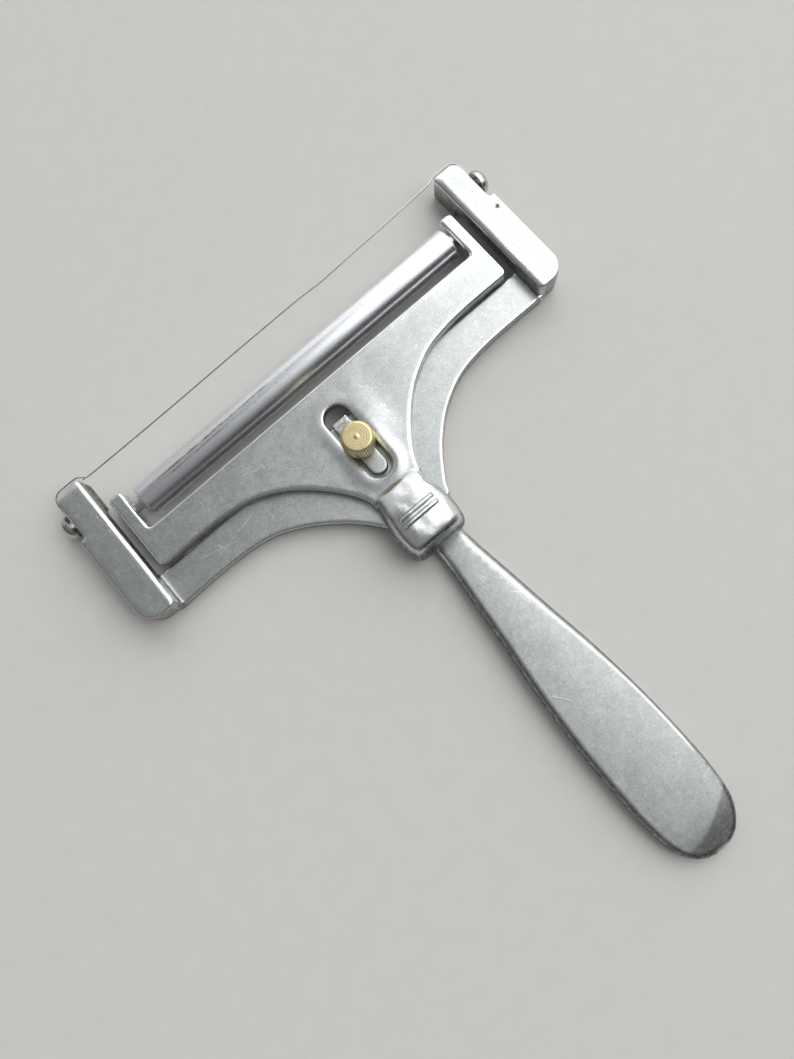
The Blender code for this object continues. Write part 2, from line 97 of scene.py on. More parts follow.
def densify(points, step):
    """A closed outline with its long sides divided, without repeated points."""
    pts = np.array(points, float)
    out = []
    for a, b in zip(pts, np.roll(pts, -1, axis=0)):
        length = np.linalg.norm(b - a)
        if length < 1e-4:
            continue
        n = max(1, int(math.ceil(length / step)))
        out += [a + (b - a) * k / n for k in range(n)]
    return np.array(out)


def distance(points, line, closed=True):
    """Distance from each point to a polyline."""
    a = np.array(line, float)
    b = np.roll(a, -1, axis=0)
    if not closed:
        a, b = a[:-1], b[:-1]
    ab = b - a
    length2 = np.maximum((ab ** 2).sum(1), 1e-12)
    best = np.full(len(points), 1e9)
    for start in range(0, len(points), 4000):
        p = points[start:start + 4000, None, :]
        t = np.clip(((p - a) * ab).sum(2) / length2, 0.0, 1.0)
        gap = p - (a + ab * t[..., None])
        best[start:start + 4000] = np.sqrt((gap ** 2).sum(2)).min(1)
    return best


def inside(points, loop):
    x, y = points[:, 0], points[:, 1]
    hit = np.zeros(len(points), bool)
    for (x0, y0), (x1, y1) in zip(loop, np.roll(loop, -1, axis=0)):
        if y0 == y1:
            continue
        crosses = (y0 > y) != (y1 > y)
        hit ^= crosses & (x < (x1 - x0) * (y - y0) / (y1 - y0) + x0)
    return hit


def within(points, loops):
    """Which points lie inside the first loop and outside the others."""
    keep = inside(points, loops[0])
    for hole in loops[1:]:
        keep &= ~inside(points, hole)
    return keep


def offset(loop, d):
    """Points moved to the left of the loop's direction, which is into the metal."""
    tangent = np.roll(loop, -1, axis=0) - np.roll(loop, 1, axis=0)
    tangent /= np.maximum(np.linalg.norm(tangent, axis=1), 1e-9)[:, None]
    return loop + np.stack([-tangent[:, 1], tangent[:, 0]], 1) * d


def edge_row(loops, edge, d, share=0.93):
    """Points in the metal at distance d from one edge, without those that come nearer to it elsewhere."""
    row = offset(edge, d)
    return row[within(row, loops) & (distance(row, edge) > d * share)]


def roundover(d, width, depth):
    """How far an edge rounded over this width and depth lies below its face, at distance d from the edge."""
    t = np.clip(1.0 - d / width, 0.0, 1.0)
    return depth * (1.0 - np.sqrt(np.clip(1.0 - t * t, 0.0, 1.0)))


def smoothstep(x, low, high):
    t = np.clip((x - low) / (high - low), 0.0, 1.0)
    return t * t * (3.0 - 2.0 * t)


def stations(y, table):
    """Smooth values between listed stations, given with y falling."""
    path = np.array(smooth_path(table, 10))[::-1]
    return [np.interp(y, path[:, 0], path[:, i]) for i in range(1, path.shape[1])]


# ---- cast slabs

def spread(loops, step, region, margin):
    """A triangular grid of points inside the loops, margin away from their edges."""
    low, high = loops[0].min(0), loops[0].max(0)
    if region is not None:
        low, high = np.maximum(low, region[0]), np.minimum(high, region[1])
    rows = np.arange(low[1], high[1], step * 0.866)
    pts = []
    for i, y in enumerate(rows):
        xs = np.arange(low[0] + (i % 2) * step * 0.5, high[0], step)
        pts.append(np.stack([xs, np.full(len(xs), y)], 1))
    pts = np.concatenate(pts)
    pts = pts[within(pts, loops)]
    for loop in loops:
        pts = pts[distance(pts, loop) > margin]
    return pts


def triangulate(loops, lines, points):
    """Triangles between the loops and through the lines and points: coordinates, faces, loop indices."""
    coords, edges, index = [], [], []
    count = 0
    for loop, closed in [(l, True) for l in loops] + lines:
        ids = np.arange(count, count + len(loop))
        edges += [(int(a), int(b)) for a, b in zip(ids, ids[1:])]
        if closed:
            edges.append((int(ids[-1]), int(ids[0])))
            index.append(ids)
        coords.append(np.array(loop, float))
        count += len(loop)
    coords.append(points)
    flat = np.concatenate(coords)
    made = delaunay_2d_cdt([Vector(p) for p in flat], edges, [], 0, 1e-5, True)
    verts = np.array([tuple(v) for v in made[0]])
    faces = np.array([f for f in made[2] if len(f) == 3])
    back = {}
    for new, olds in enumerate(made[3]):
        for old in olds:
            back[old] = new
    rings = [[back[int(i)] for i in ids] for ids in index[:len(loops)]]
    return verts, faces[within(verts[faces].mean(1), loops)], rings


def slab(top, bottom, walls):
    """Points and faces of one closed body.

    top and bottom are (xyz, faces, rings); walls holds, for each ring, the rows of points between the two.
    """
    verts = [top[0], bottom[0]]
    faces = top[1].tolist()
    faces += [[a + len(top[0]) for a in reversed(f)] for f in bottom[1].tolist()]
    count = len(top[0]) + len(bottom[0])
    for ring_top, ring_low, rows in zip(top[2], bottom[2], walls):
        levels = [list(ring_top)]
        for row in rows:
            levels.append(list(range(count, count + len(row))))
            verts.append(row)
            count += len(row)
        levels.append([i + len(top[0]) for i in ring_low])
        n = len(ring_top)
        for upper, lower in zip(levels, levels[1:]):
            for i in range(n):
                j = (i + 1) % n
                faces.append([upper[j], upper[i], lower[i], lower[j]])
    return np.concatenate(verts), faces


def joined(*parts):
    """Several (points, faces) bodies as one."""
    verts, faces, count = [], [], 0
    for v, f in parts:
        verts.append(v)
        faces += [[i + count for i in face] for face in f]
        count += len(v)
    return np.concatenate(verts), faces


def new_object(name, data):
    obj = bpy.data.objects.new(name, data)
    bpy.context.scene.collection.objects.link(obj)
    return obj


def new_mesh(name, part, sharp=38.0):
    """A mesh piece from (points, faces) in millimetres and the CAD model's axes."""
    verts, faces = part
    world = (np.array(verts, float) + (0.0, DATUM_Y, 0.0)) * MM
    mesh = bpy.data.meshes.new(name)
    mesh.from_pydata(world.tolist(), [], [list(map(int, f)) for f in faces])
    mesh.validate()
    mesh.shade_smooth()
    mesh.set_sharp_from_angle(angle=math.radians(sharp))
    return new_object(name, mesh)


def set_mask(obj, name, values):
    """A float on each vertex that the materials read."""
    layer = obj.data.attributes.new(name, "FLOAT", "POINT")
    layer.data.foreach_set("value", np.clip(values, 0.0, 1.0).astype(np.float32))


def per_vertex(obj, name):
    values = np.zeros(len(obj.data.vertices) * 3, np.float32)
    obj.data.vertices.foreach_get(name, values)
    return values.reshape(-1, 3)


def steepness(obj):
    """1 on upright faces, 0 on level ones, from the piece's own vertex normals."""
    return 1.0 - smoothstep(np.abs(per_vertex(obj, "normal")[:, 2]), 0.12, 0.62)


def ripple(x, y, wavelength, seed, count=14):
    """A smooth random surface between about -1 and 1, the same on every run."""
    rng = np.random.default_rng(seed)
    out = np.zeros(len(x))
    for _ in range(count):
        angle = rng.uniform(0.0, 2.0 * math.pi)
        k = 2.0 * math.pi / (wavelength * rng.uniform(0.7, 1.5))
        out += np.sin((x * math.cos(angle) + y * math.sin(angle)) * k + rng.uniform(0.0, 6.28))
    return out / math.sqrt(count / 2.0) / 1.6


def points_of(obj):
    """The piece's vertices in millimetres in the CAD model's axes."""
    return per_vertex(obj, "co") / MM - (0.0, DATUM_Y, 0.0)


def along_x(v, side):
    """Points standing on the XY plane laid over so their Z points to +X or -X."""
    return np.stack([side * v[:, 2], side * v[:, 0], v[:, 1]], 1)


def turned(profile, segments, side=0, centre=(0.0, 0.0, 0.0)):
    """A solid of revolution from (radius, height) pairs, top first, as (points, faces)."""
    verts, faces, rows = [], [], []
    for r, h in profile:
        if r < 1e-6:
            rows.append([len(verts)])
            verts.append((0.0, 0.0, h))
            continue
        rows.append(list(range(len(verts), len(verts) + segments)))
        for k in range(segments):
            a = 2.0 * math.pi * k / segments
            verts.append((r * math.cos(a), r * math.sin(a), h))
    pairs = list(zip(rows, rows[1:]))
    if len(rows[0]) > 1:
        pairs.append((rows[-1], rows[0]))
    for a, b in pairs:
        for k in range(segments):
            j = (k + 1) % segments
            quad = [a[k % len(a)], a[j % len(a)], b[j % len(b)], b[k % len(b)]]
            faces.append(list(dict.fromkeys(quad))[::-1])
    v = np.array(verts)
    if side:
        v = along_x(v, side)
    return v + np.array(centre), faces


# ---- materials

class Nodes:
    """Short calls for building the node tree of a material or a world."""

    def __init__(self, owner):
        owner.use_nodes = True
        self.tree = owner.node_tree
        self.tree.nodes.clear()

    def link(self, a, b):
        self.tree.links.new(a, b)

    def put(self, socket, value):
        if hasattr(value, "is_output"):
            self.link(value, socket)
        elif isinstance(value, (tuple, list)) and len(value) == 3 and socket.type == "RGBA":
            socket.default_value = (*value, 1.0)
        else:
            socket.default_value = value

    def new(self, kind, **inputs):
        """A node with its named inputs set or linked."""
        node = self.tree.nodes.new("ShaderNode" + kind)
        for name, value in inputs.items():
            self.put(node.inputs[name], value)
        return node

    def math(self, operation, a, b=0.0, kind="Math"):
        node = self.new(kind)
        node.operation = operation
        self.put(node.inputs[0], a)
        self.put(node.inputs[1], b)
        return node.outputs["Value" if operation == "DOT_PRODUCT" else 0]

    def add(self, a, b):
        return self.math("ADD", a, b)

    def sub(self, a, b):
        return self.math("SUBTRACT", a, b)

    def mul(self, a, b):
        return self.math("MULTIPLY", a, b)

    def span(self, value, low, high, out_low=0.0, out_high=1.0):
        """A smooth step from out_low at low to out_high at high."""
        ends = {"From Min": low, "From Max": high, "To Min": out_low, "To Max": out_high}
        node = self.new("MapRange", Value=value, **ends)
        node.interpolation_type = "SMOOTHSTEP"
        return node.outputs[0]

    def mix(self, factor, a, b):
        node = self.new("Mix")
        node.data_type = "RGBA"
        self.put(node.inputs[0], factor)
        self.put(node.inputs[6], a)
        self.put(node.inputs[7], b)
        return node.outputs[2]


class Surface(Nodes):
    """A principled material in object coordinates."""

    def __init__(self, name):
        self.mat = bpy.data.materials.new(name)
        super().__init__(self.mat)
        out = self.new("OutputMaterial")
        self.shader = self.new("BsdfPrincipled")
        self.link(self.shader.outputs[0], out.inputs[0])
        self.coord = self.new("TexCoord").outputs["Object"]

    def mapped(self, scale, turn=0.0, shift=(0.0, 0.0, 0.0)):
        """The coordinates scaled, turned about Z by so many degrees and shifted."""
        node = self.new("Mapping", Vector=self.coord, Location=shift, Scale=scale,
                        Rotation=(0.0, 0.0, math.radians(turn)))
        return node.outputs[0]

    def noise(self, scale, detail=3.0, rough=0.5, vector=None, distortion=0.0):
        node = self.new("TexNoise", Vector=vector or self.coord, Scale=scale, Detail=detail, Roughness=rough,
                        Distortion=distortion)
        return node.outputs["Fac"]

    def cells(self, scale):
        """Distance to the nearest of a scatter of points."""
        return self.new("TexVoronoi", Vector=self.coord, Scale=scale).outputs["Distance"]

    def mask(self, name):
        node = self.new("Attribute")
        node.attribute_name = name
        return node.outputs["Fac"]

    def bump(self, height, strength, distance_mm):
        node = self.new("Bump", Strength=strength, Distance=distance_mm * MM, Height=height)
        self.link(node.outputs[0], self.shader.inputs["Normal"])

    def stroke(self, a, b, width):
        """One deliberate mark from a to b, in millimetres and the CAD model's axes."""
        dx, dy = b[0] - a[0], b[1] - a[1]
        node = self.new("Mapping", Vector=self.coord, Location=(a[0] * MM, (a[1] + DATUM_Y) * MM, 0.0),
                        Rotation=(0.0, 0.0, math.atan2(dy, dx)),
                        Scale=(math.hypot(dx, dy) * MM, width * MM, 1.0))
        node.vector_type = "TEXTURE"
        split = self.new("SeparateXYZ", Vector=node.outputs[0])
        across = self.span(self.math("ABSOLUTE", split.outputs[1]), 1.0, 0.4)
        along = self.span(self.math("ABSOLUTE", self.sub(split.outputs[0], 0.5)), 0.5, 0.4)
        return self.mul(across, along)

    def scratches(self, angle, fine, length, keep):
        """Thin, sparse straight marks: 1 on a mark, 0 elsewhere."""
        shift = (angle * 0.01, 0.003, 0.0)
        lines = self.noise(1.0, 2.0, 0.6, self.mapped((fine, fine / length, fine), angle, shift))
        patches = self.noise(140.0, 1.0, 0.5, self.mapped((1.0, 1.0, 1.0), angle, (0.3, 0.1, 0.2)))
        return self.mul(self.span(lines, keep, keep + 0.06), self.span(patches, 0.48, 0.66))


BRIGHT_CUT = (0.97, 0.98, 0.98)
DRAWN_STAIN = (0.34, 0.30, 0.26)
BROWN_STAIN = (0.27, 0.22, 0.18)
# near-black colour of the painted shade, laid in corners, on walls and on sides away from the light
PAINTED_SHADE_TONE = (0.075, 0.07, 0.063)


def metal(name, light, dark, rough, mottle=0.5, marks=0.6, pits=0.5, grain=0.4, masks=False, brushed=0.0,
          shine=(0.90, 0.91, 0.92), strokes=(), streaks=0.0, stains=()):
    """Worn metal: mottled tone, fine grain, scratches and pits, brighter where handling has polished it and
    where a highlight is painted.

    strokes and stains are (from, to, width) marks; masks reads the piece's polish, which is partly a painted
    highlight, and its painted shade.
    """
    n = Surface(name)
    broad = n.noise(95.0, 3.0, 0.55)
    fine = n.noise(620.0, 3.0, 0.6)
    speck = n.noise(2600.0, 2.0, 0.6)
    tone = n.add(n.mul(broad, 0.12), n.mul(fine, 0.33))
    tone = n.add(tone, n.mul(speck, 0.55))
    scratch = n.math("MAXIMUM", n.scratches(28.0, 5200.0, 26.0, 0.66), n.scratches(-47.0, 4300.0, 34.0, 0.67))
    scratch = n.math("MAXIMUM", scratch, n.scratches(81.0, 6100.0, 20.0, 0.67))
    pit = n.mul(n.span(n.cells(420.0), 0.16, 0.05), n.span(n.noise(230.0, 1.0, 0.5), 0.56, 0.62))
    fleck = n.mul(n.span(n.noise(1450.0, 2.0, 0.5), 0.60, 0.70), mottle)

    # bare metal
    colour = n.mix(n.span(tone, 0.33, 0.66), dark, light)
    colour = n.mix(n.mul(fleck, 0.55), colour, shine)
    colour = n.mix(n.mul(scratch, 0.35 * marks), colour, shine)
    roughness = n.add(rough, n.mul(n.sub(tone, 0.5), 0.22 * mottle))
    roughness = n.sub(roughness, n.mul(fleck, 0.11))
    roughness = n.add(roughness, n.mul(n.sub(speck, 0.5), 0.12 * mottle))
    height = n.mul(fine, 0.35 * grain)
    height = n.add(height, n.mul(speck, 0.22 * grain))
    height = n.sub(height, n.mul(scratch, 0.5 * marks))
    height = n.sub(height, n.mul(pit, 1.6 * pits))

    # deliberate scratches, then pits over them
    if strokes:
        cut = 0.0
        for a, b, width in strokes:
            cut = n.math("MAXIMUM", cut, n.stroke(a, b, width * 1.3))
        colour = n.mix(n.mul(cut, 0.85), colour, BRIGHT_CUT)
        roughness = n.sub(roughness, n.mul(cut, 0.08))
        height = n.sub(height, n.mul(cut, 0.5))
    colour = n.mix(n.mul(pit, 0.55 * pits), colour, tuple(c * 0.45 for c in dark))

    if brushed:
        hairs = n.noise(1.0, 3.0, 0.65, n.mapped((260.0, 5200.0, 900.0), 12.0))
        hair = n.mul(n.sub(hairs, 0.5), n.span(n.noise(75.0, 2.0, 0.5), 0.42, 0.62))
        height = n.add(height, n.mul(hair, 0.9 * brushed))
        roughness = n.add(roughness, n.mul(hair, 0.35 * brushed))
    if streaks:
        line = n.noise(1.0, 4.0, 0.7, n.mapped((9.0, 1500.0, 1500.0)))
        drawn = n.mul(n.span(line, 0.57, 0.66), n.span(n.noise(40.0, 2.0, 0.5), 0.42, 0.6))
        colour = n.mix(n.mul(drawn, 0.5 * streaks), colour, DRAWN_STAIN)
        roughness = n.add(roughness, n.mul(n.sub(line, 0.5), 0.4 * streaks))
        height = n.add(height, n.mul(line, 0.5 * streaks))
    for a, b, width in stains:
        worn = n.span(n.noise(1.0, 3.0, 0.6, n.mapped((420.0, 2600.0, 2600.0))), 0.38, 0.58)
        colour = n.mix(n.mul(n.stroke(a, b, width), worn), colour, BROWN_STAIN)
    if masks:
        # polish lowers the roughness as real wear does; its lift of the colour towards shine is partly a
        # painted highlight
        polish_and_sheen = n.mask("polish_and_sheen")
        smear = n.span(n.noise(330.0, 3.0, 0.6, None, 0.6), 0.35, 0.68)
        roughness = n.mul(roughness, n.sub(1.0, n.mul(polish_and_sheen, 0.58)))
        roughness = n.add(roughness, n.mul(n.mul(polish_and_sheen, smear), 0.10))
        colour = n.mix(n.mul(polish_and_sheen, n.sub(1.0, n.mul(smear, 0.45))), colour, shine)
        # painted shade: the colour is darkened towards the shade tone where the piece's shade mask is set
        shade_cover = n.mul(n.mask("painted_shade"), n.span(n.noise(900.0, 3.0, 0.6), 0.3, 0.6, 0.6, 1.0))
        colour = n.mix(n.mul(shade_cover, 0.9), colour, PAINTED_SHADE_TONE)
        roughness = n.add(roughness, n.mul(shade_cover, 0.22))
    n.put(n.shader.inputs["Base Color"], colour)
    n.put(n.shader.inputs["Roughness"], n.math("MAXIMUM", roughness, 0.05))
    n.shader.inputs["Metallic"].default_value = 1.0
    n.bump(height, 1.0, 0.03)
    return n.mat


# ---- frame casting

ARM_INNER = 59.3
ARM_OUTER = 68.4
ARM_NOTCH_X = 66.8
ARM_NOTCH_Y = 17.2
ARM_TOP = 8.8
ARM_INNER_REAR = -10.4  # where the arm's inner face ends over the crossbar
BAR_TOP = 4.0
BAR_REAR_Y = -10.9
BAR_FOOT = 0.4  # the crossbar's underside stands this far off the table
FRONT_Y = -1.0
LIP_Z = 4.4  # each arm is recessed below this height, between FRONT_Y and RECESS_END_Y
RECESS_END_Y = 22.0
RECESS_DEPTH = 1.2
BOSS_TOP = 6.5
BOSS_HALF = 2.4
BOSS_REAR_Y = -19.0
TOOTH_PITCH = 0.62  # serration at the front of the boss
HANDLE_X = 1.1
SCREW_Y = -9.8
SCREW_HOLE_R = 2.05
PIT = (66.2, 13.6)  # casting pit on the right arm
STEP = 0.04  # plan width of an upright step between two heights
SNAP = 0.005  # points this near a line lie on it

# y, half width, height
HANDLE = [(-32.0, 4.2, 3.9), (-40.4, 4.2, 3.9), (-45.0, 4.5, 4.6), (-50.0, 5.0, 5.2), (-58.0, 6.0, 5.7),
          (-70.0, 7.4, 6.0), (-84.0, 9.2, 6.0), (-100.0, 10.45, 5.9), (-116.0, 10.8, 5.6),
          (-125.0, 10.3, 5.2), (-130.5, 9.2, 4.9), (-134.3, 7.0, 4.5), (-136.4, 4.6, 4.2), (-137.3, 2.0, 4.0)]


def tip_facet(x, y):
    """How far a point lies beyond the edge of the worn facet that bows across the handle's tip."""
    across = x - 0.4
    return -131.2 + 0.33 * across + 0.0193 * across ** 2 - y


def frame_outline():
    rear = [(58.0, -10.9), (44.5, -10.9), (36.2, -11.5), (30.2, -12.9), (24.7, -15.5), (20.5, -18.3),
            (16.5, -21.7), (13.4, -24.9), (10.7, -28.4), (9.0, -30.9)]
    half = [(0.0, FRONT_Y), (ARM_INNER - STEP, FRONT_Y), (ARM_INNER, FRONT_Y)]
    half += [(ARM_INNER, FRONT_Y + 0.15), (ARM_INNER, FRONT_Y + 0.2)]
    half += [(ARM_INNER, RECESS_END_Y), (ARM_INNER, RECESS_END_Y + 0.05)]
    half += arc(ARM_INNER + 0.7, ARM_TIP_Y - 0.7, 0.7, 90.0, 180.0, 6)[::-1]
    half += arc(ARM_NOTCH_X - 2.2, ARM_TIP_Y - 2.2, 2.2, 0.0, 90.0, 12)[::-1]
    half += [(ARM_NOTCH_X, ARM_NOTCH_Y + 0.5), (ARM_NOTCH_X + 0.2, ARM_NOTCH_Y + 0.1)]
    half += arc(ARM_OUTER - 0.9, ARM_NOTCH_Y - 0.9, 0.9, 0.0, 90.0, 6)[::-1]
    half += arc(ARM_OUTER - 5.0, ARM_INNER_REAR + 5.0, 5.0, 270.0, 360.0, 20)[::-1]
    half += [(ARM_INNER + 2.6, ARM_INNER_REAR), (ARM_INNER + 2.56, ARM_INNER_REAR - 0.0125)]
    half += [(ARM_INNER + 1.8, ARM_INNER_REAR - 0.25), (ARM_INNER + 1.0, BAR_REAR_Y)]
    half += smooth_path(rear, 8)
    half += arc(6.2, -31.6, 2.4, 0.0, -80.0, 8)[1:]
    half += [(5.4, -34.2)]
    pts = mirrored(half)
    out = []
    for x, y in pts:
        t = min(1.0, max(0.0, (-12.0 - y) / 18.0))
        out.append((x + HANDLE_X * t * t * (3.0 - 2.0 * t), y))
    rows = np.array(smooth_path(HANDLE, 10))
    rows = rows[rows[:, 0] < -35.0]
    right = [(HANDLE_X + h, y) for y, h, _ in rows]
    left = [(HANDLE_X - h, y) for y, h, _ in reversed(rows)]
    k = len(half)
    return out[:k] + right + left + out[k:]


def arm_edge():
    """The right arm's edge over the crossbar, from its inner face round to its rear."""
    pts = [(ARM_INNER, FRONT_Y)]
    pts += [(ARM_INNER, y) for y in np.arange(FRONT_Y - 0.6, ARM_INNER_REAR + 2.1, -0.6)]
    pts += arc(ARM_INNER + 1.6, ARM_INNER_REAR + 1.6, 1.6, 180.0, 266.0, 9)
    return pts


def boss_outline(grow=0.0):
    half = BOSS_HALF + grow
    front = FRONT_Y - 0.35 + grow
    corner = 0.7
    pts = arc(0.0, BOSS_REAR_Y + BOSS_HALF, half, 180.0, 360.0, 24)
    pts += arc(half - corner, front - corner, corner, 0.0, 90.0, 5)
    pts += arc(-half + corner, front - corner, corner, 90.0, 180.0, 5)
    return densify(pts, 0.5)


def step_lines():
    """The arm's edge over the crossbar, and the crossbar's beside it."""
    edge = np.array(arm_edge())
    arm_line = np.concatenate([edge, [(ARM_INNER + 2.5, ARM_INNER_REAR)]])
    bar_line = np.concatenate([edge - (STEP, 0.0), [(ARM_INNER + 2.2, ARM_INNER_REAR - STEP)]])
    bar_line[-4:-1] -= (0.0, STEP)
    return arm_line, bar_line


def frame_points(loops, lines, boss):
    """Points of the frame's upper side: rows along its edges, a coarse grid, finer ones where it curves."""
    outer, hole = loops
    rings = [edge_row(loops, outer, d) for d in (0.03, 0.09, 0.2, 0.36, 0.56, 0.8, 1.1, 1.5, 2.0)]
    rings += [offset(wound(boss), d) for d in (0.1, 0.22, 0.4)]

    def column(x, rear):
        return np.stack([np.full(18, x), np.linspace(FRONT_Y - 0.3, rear, 18)], 1)

    for d in (0.15, 0.3, 0.5, 0.8, 1.2, 1.8):
        for side in (1, -1):
            rings.append(column(ARM_INNER + d, -9.6) * (side, 1.0))
            if d < 1.3:
                rings.append(column(ARM_INNER - STEP - d, -10.2) * (side, 1.0))
    pit_box = ((PIT[0] - 1.1, PIT[1] - 1.1), (PIT[0] + 1.1, PIT[1] + 1.1))
    tip_box = ((-8.0, -137.0), (12.0, -118.0))
    boss_box = ((-5.0, -21.0), (5.0, -1.0))
    points = np.concatenate(rings + [spread(loops, 1.3, None, 2.3), spread(loops, 0.16, pit_box, 0.1),
                                     spread(loops, 0.6, tip_box, 1.0), spread(loops, 0.7, boss_box, 0.5)])
    keep = within(points, loops)
    for line, closed in lines:
        keep &= distance(points, line, closed) > 0.02
    keep &= distance(points, hole) > 0.25
    return points[keep]


def frame_top(loops):
    """The frame's upper side as (xyz, faces, rings)."""
    outer, hole = loops
    arm_line, bar_line = step_lines()
    flip = np.array([-1.0, 1.0])
    boss = boss_outline()
    lines = [(arm_line, False), (bar_line, False), (arm_line * flip, False), (bar_line * flip, False),
             (boss, True), (boss_outline(STEP), True)]
    flat, faces, ring_ids = triangulate(loops, lines, frame_points(loops, lines, boss))

    x, y = flat.T
    ax = np.abs(x)
    arm_poly = np.concatenate([arm_line[::-1], [(ARM_INNER, 40.0), (90.0, 40.0), (90.0, ARM_INNER_REAR)]])
    folded = np.stack([ax, y], 1)
    d_arm = distance(folded, arm_line, False)
    d_boss = distance(flat, boss)
    on_arm = inside(folded, arm_poly) | (d_arm < SNAP)
    on_arm |= (ax > ARM_INNER - SNAP) & (y > FRONT_Y - SNAP)
    on_arm |= (ax > ARM_INNER + 2.58) & (y > ARM_INNER_REAR - 0.05) & (y < 0.0)
    on_boss = inside(flat, boss) | (d_boss < SNAP)

    # arms: all edges rounded, the inner one broader, and a faint ledge where the outer bevel begins
    d_out = distance(flat, outer)
    d_inner = np.where(on_arm, np.abs(ax - ARM_INNER), 99.0)
    arm_edge_d = np.minimum(d_out, np.where(on_arm, d_arm, 99.0))
    tip = smoothstep(y, 27.0, ARM_TIP_Y)
    z_arm = ARM_TOP - roundover(arm_edge_d, 0.85, 0.55) - roundover(d_inner, 2.1, 0.55)
    z_arm -= 0.25 * tip * tip
    z_arm -= 0.05 * (1.0 - smoothstep(d_out, 1.15, 1.4)) * (d_inner > 2.0)

    # crossbar, with a small fillet beside each arm
    z_bar = BAR_TOP - roundover(d_out, 0.85, 0.75)
    fillet = np.where(ax < ARM_INNER, np.clip(1.0 - (ARM_INNER - STEP - ax) / 1.2, 0.0, 1.0), 0.0)
    z_bar += np.where(ax > 50.0, 0.2 * fillet ** 2, 0.0)

    # handle: a wider bevel on the right near the crossbar, and a worn facet at the tip
    half, height = stations(y, HANDLE)
    on_handle = smoothstep(-y, 33.0, 36.0)
    u = np.clip(np.abs(x - HANDLE_X) / half, 0.0, 1.0)
    right = smoothstep(x - HANDLE_X, -1.0, 1.0)
    near = 1.0 - smoothstep(-y, 52.0, 104.0)
    shoulder = np.minimum(1.55 + right * (0.55 * near - 0.45 * (1.0 - near)), half * 0.45)
    facet = np.maximum(tip_facet(x, y), 0.0) * (y < -100.0)
    crown = height - 0.5 * smoothstep(-y, 121.0, 139.5) ** 1.5 - 0.17 * facet ** 2 / (facet + 0.4)
    z_handle = crown - roundover(d_out, shoulder, np.minimum(2.5, crown * 0.5)) - 0.12 * u ** 2

    z = z_bar * (1.0 - on_handle) + z_handle * on_handle
    z = np.where(on_arm, z_arm, z)
    z -= 0.4 * np.exp(-(np.hypot(x - PIT[0], y - PIT[1]) / 0.42) ** 2)
    wave = 0.5 + 0.5 * np.sin((y + 1.35) * 2.0 * math.pi / TOOTH_PITCH)
    serration = np.where(y > -3.4, 0.16 * wave, 0.0)
    z = np.where(on_boss, BOSS_TOP - roundover(d_boss, 0.4, 0.35) - serration, z)
    z -= np.where(distance(flat, hole) < 0.02, 0.15, 0.0)
    z += 0.010 * ripple(x, y, 9.0, 3) * smoothstep(d_out, 0.5, 2.5) - 0.010
    return np.column_stack([flat, z]), faces, ring_ids


def frame_base(loops, top):
    """The frame's underside as (xyz, faces, rings), and the rows of its walls."""
    low_loops, walls = [], []
    for loop, ids in zip(loops, top[2]):
        x, y = loop.T
        recessed = np.abs(np.abs(x) - ARM_INNER) < 0.01
        recessed &= (y > FRONT_Y + 0.17) & (y < RECESS_END_Y + 0.02)
        shift = np.stack([RECESS_DEPTH * recessed * np.sign(x), 0.0 * y], 1)
        inner = loop + shift
        z_ring = top[0][ids, 2]
        near_arm = (np.abs(x) > ARM_INNER + 0.5) | (y > FRONT_Y + 0.01)
        foot = np.where(near_arm | (y < -36.0), 0.0, BAR_FOOT)
        lip = np.minimum(z_ring - 0.02, LIP_Z + 0.25)
        under = np.minimum(lip - 0.02, LIP_Z)
        last = np.minimum(foot + np.clip(under * 0.3, 0.95, 1.0), under - 0.05)
        rows = [(loop, z_ring * 0.45 + lip * 0.55), (loop, lip), (loop + shift * 0.12, under),
                (inner, under - 0.01), (inner, last)]
        low_loops.append(inner)
        walls.append([np.column_stack(row) for row in rows])
    outer = low_loops[0]
    rings = [edge_row(low_loops, outer, d, 0.9) for d in (0.12, 0.35, 0.7, 1.1)]
    points = np.concatenate(rings + [spread(low_loops, 4.0, None, 1.6)])
    flat, faces, ring_ids = triangulate(low_loops, [], points)
    x, y = flat.T
    raised = BAR_FOOT * (1.0 - smoothstep(np.abs(x), 56.0, 59.3)) * (1.0 - smoothstep(-y, 36.0, 44.0))
    z = raised + roundover(distance(flat, outer), 1.1, 0.9)
    return (np.column_stack([flat, z]), faces, ring_ids), walls


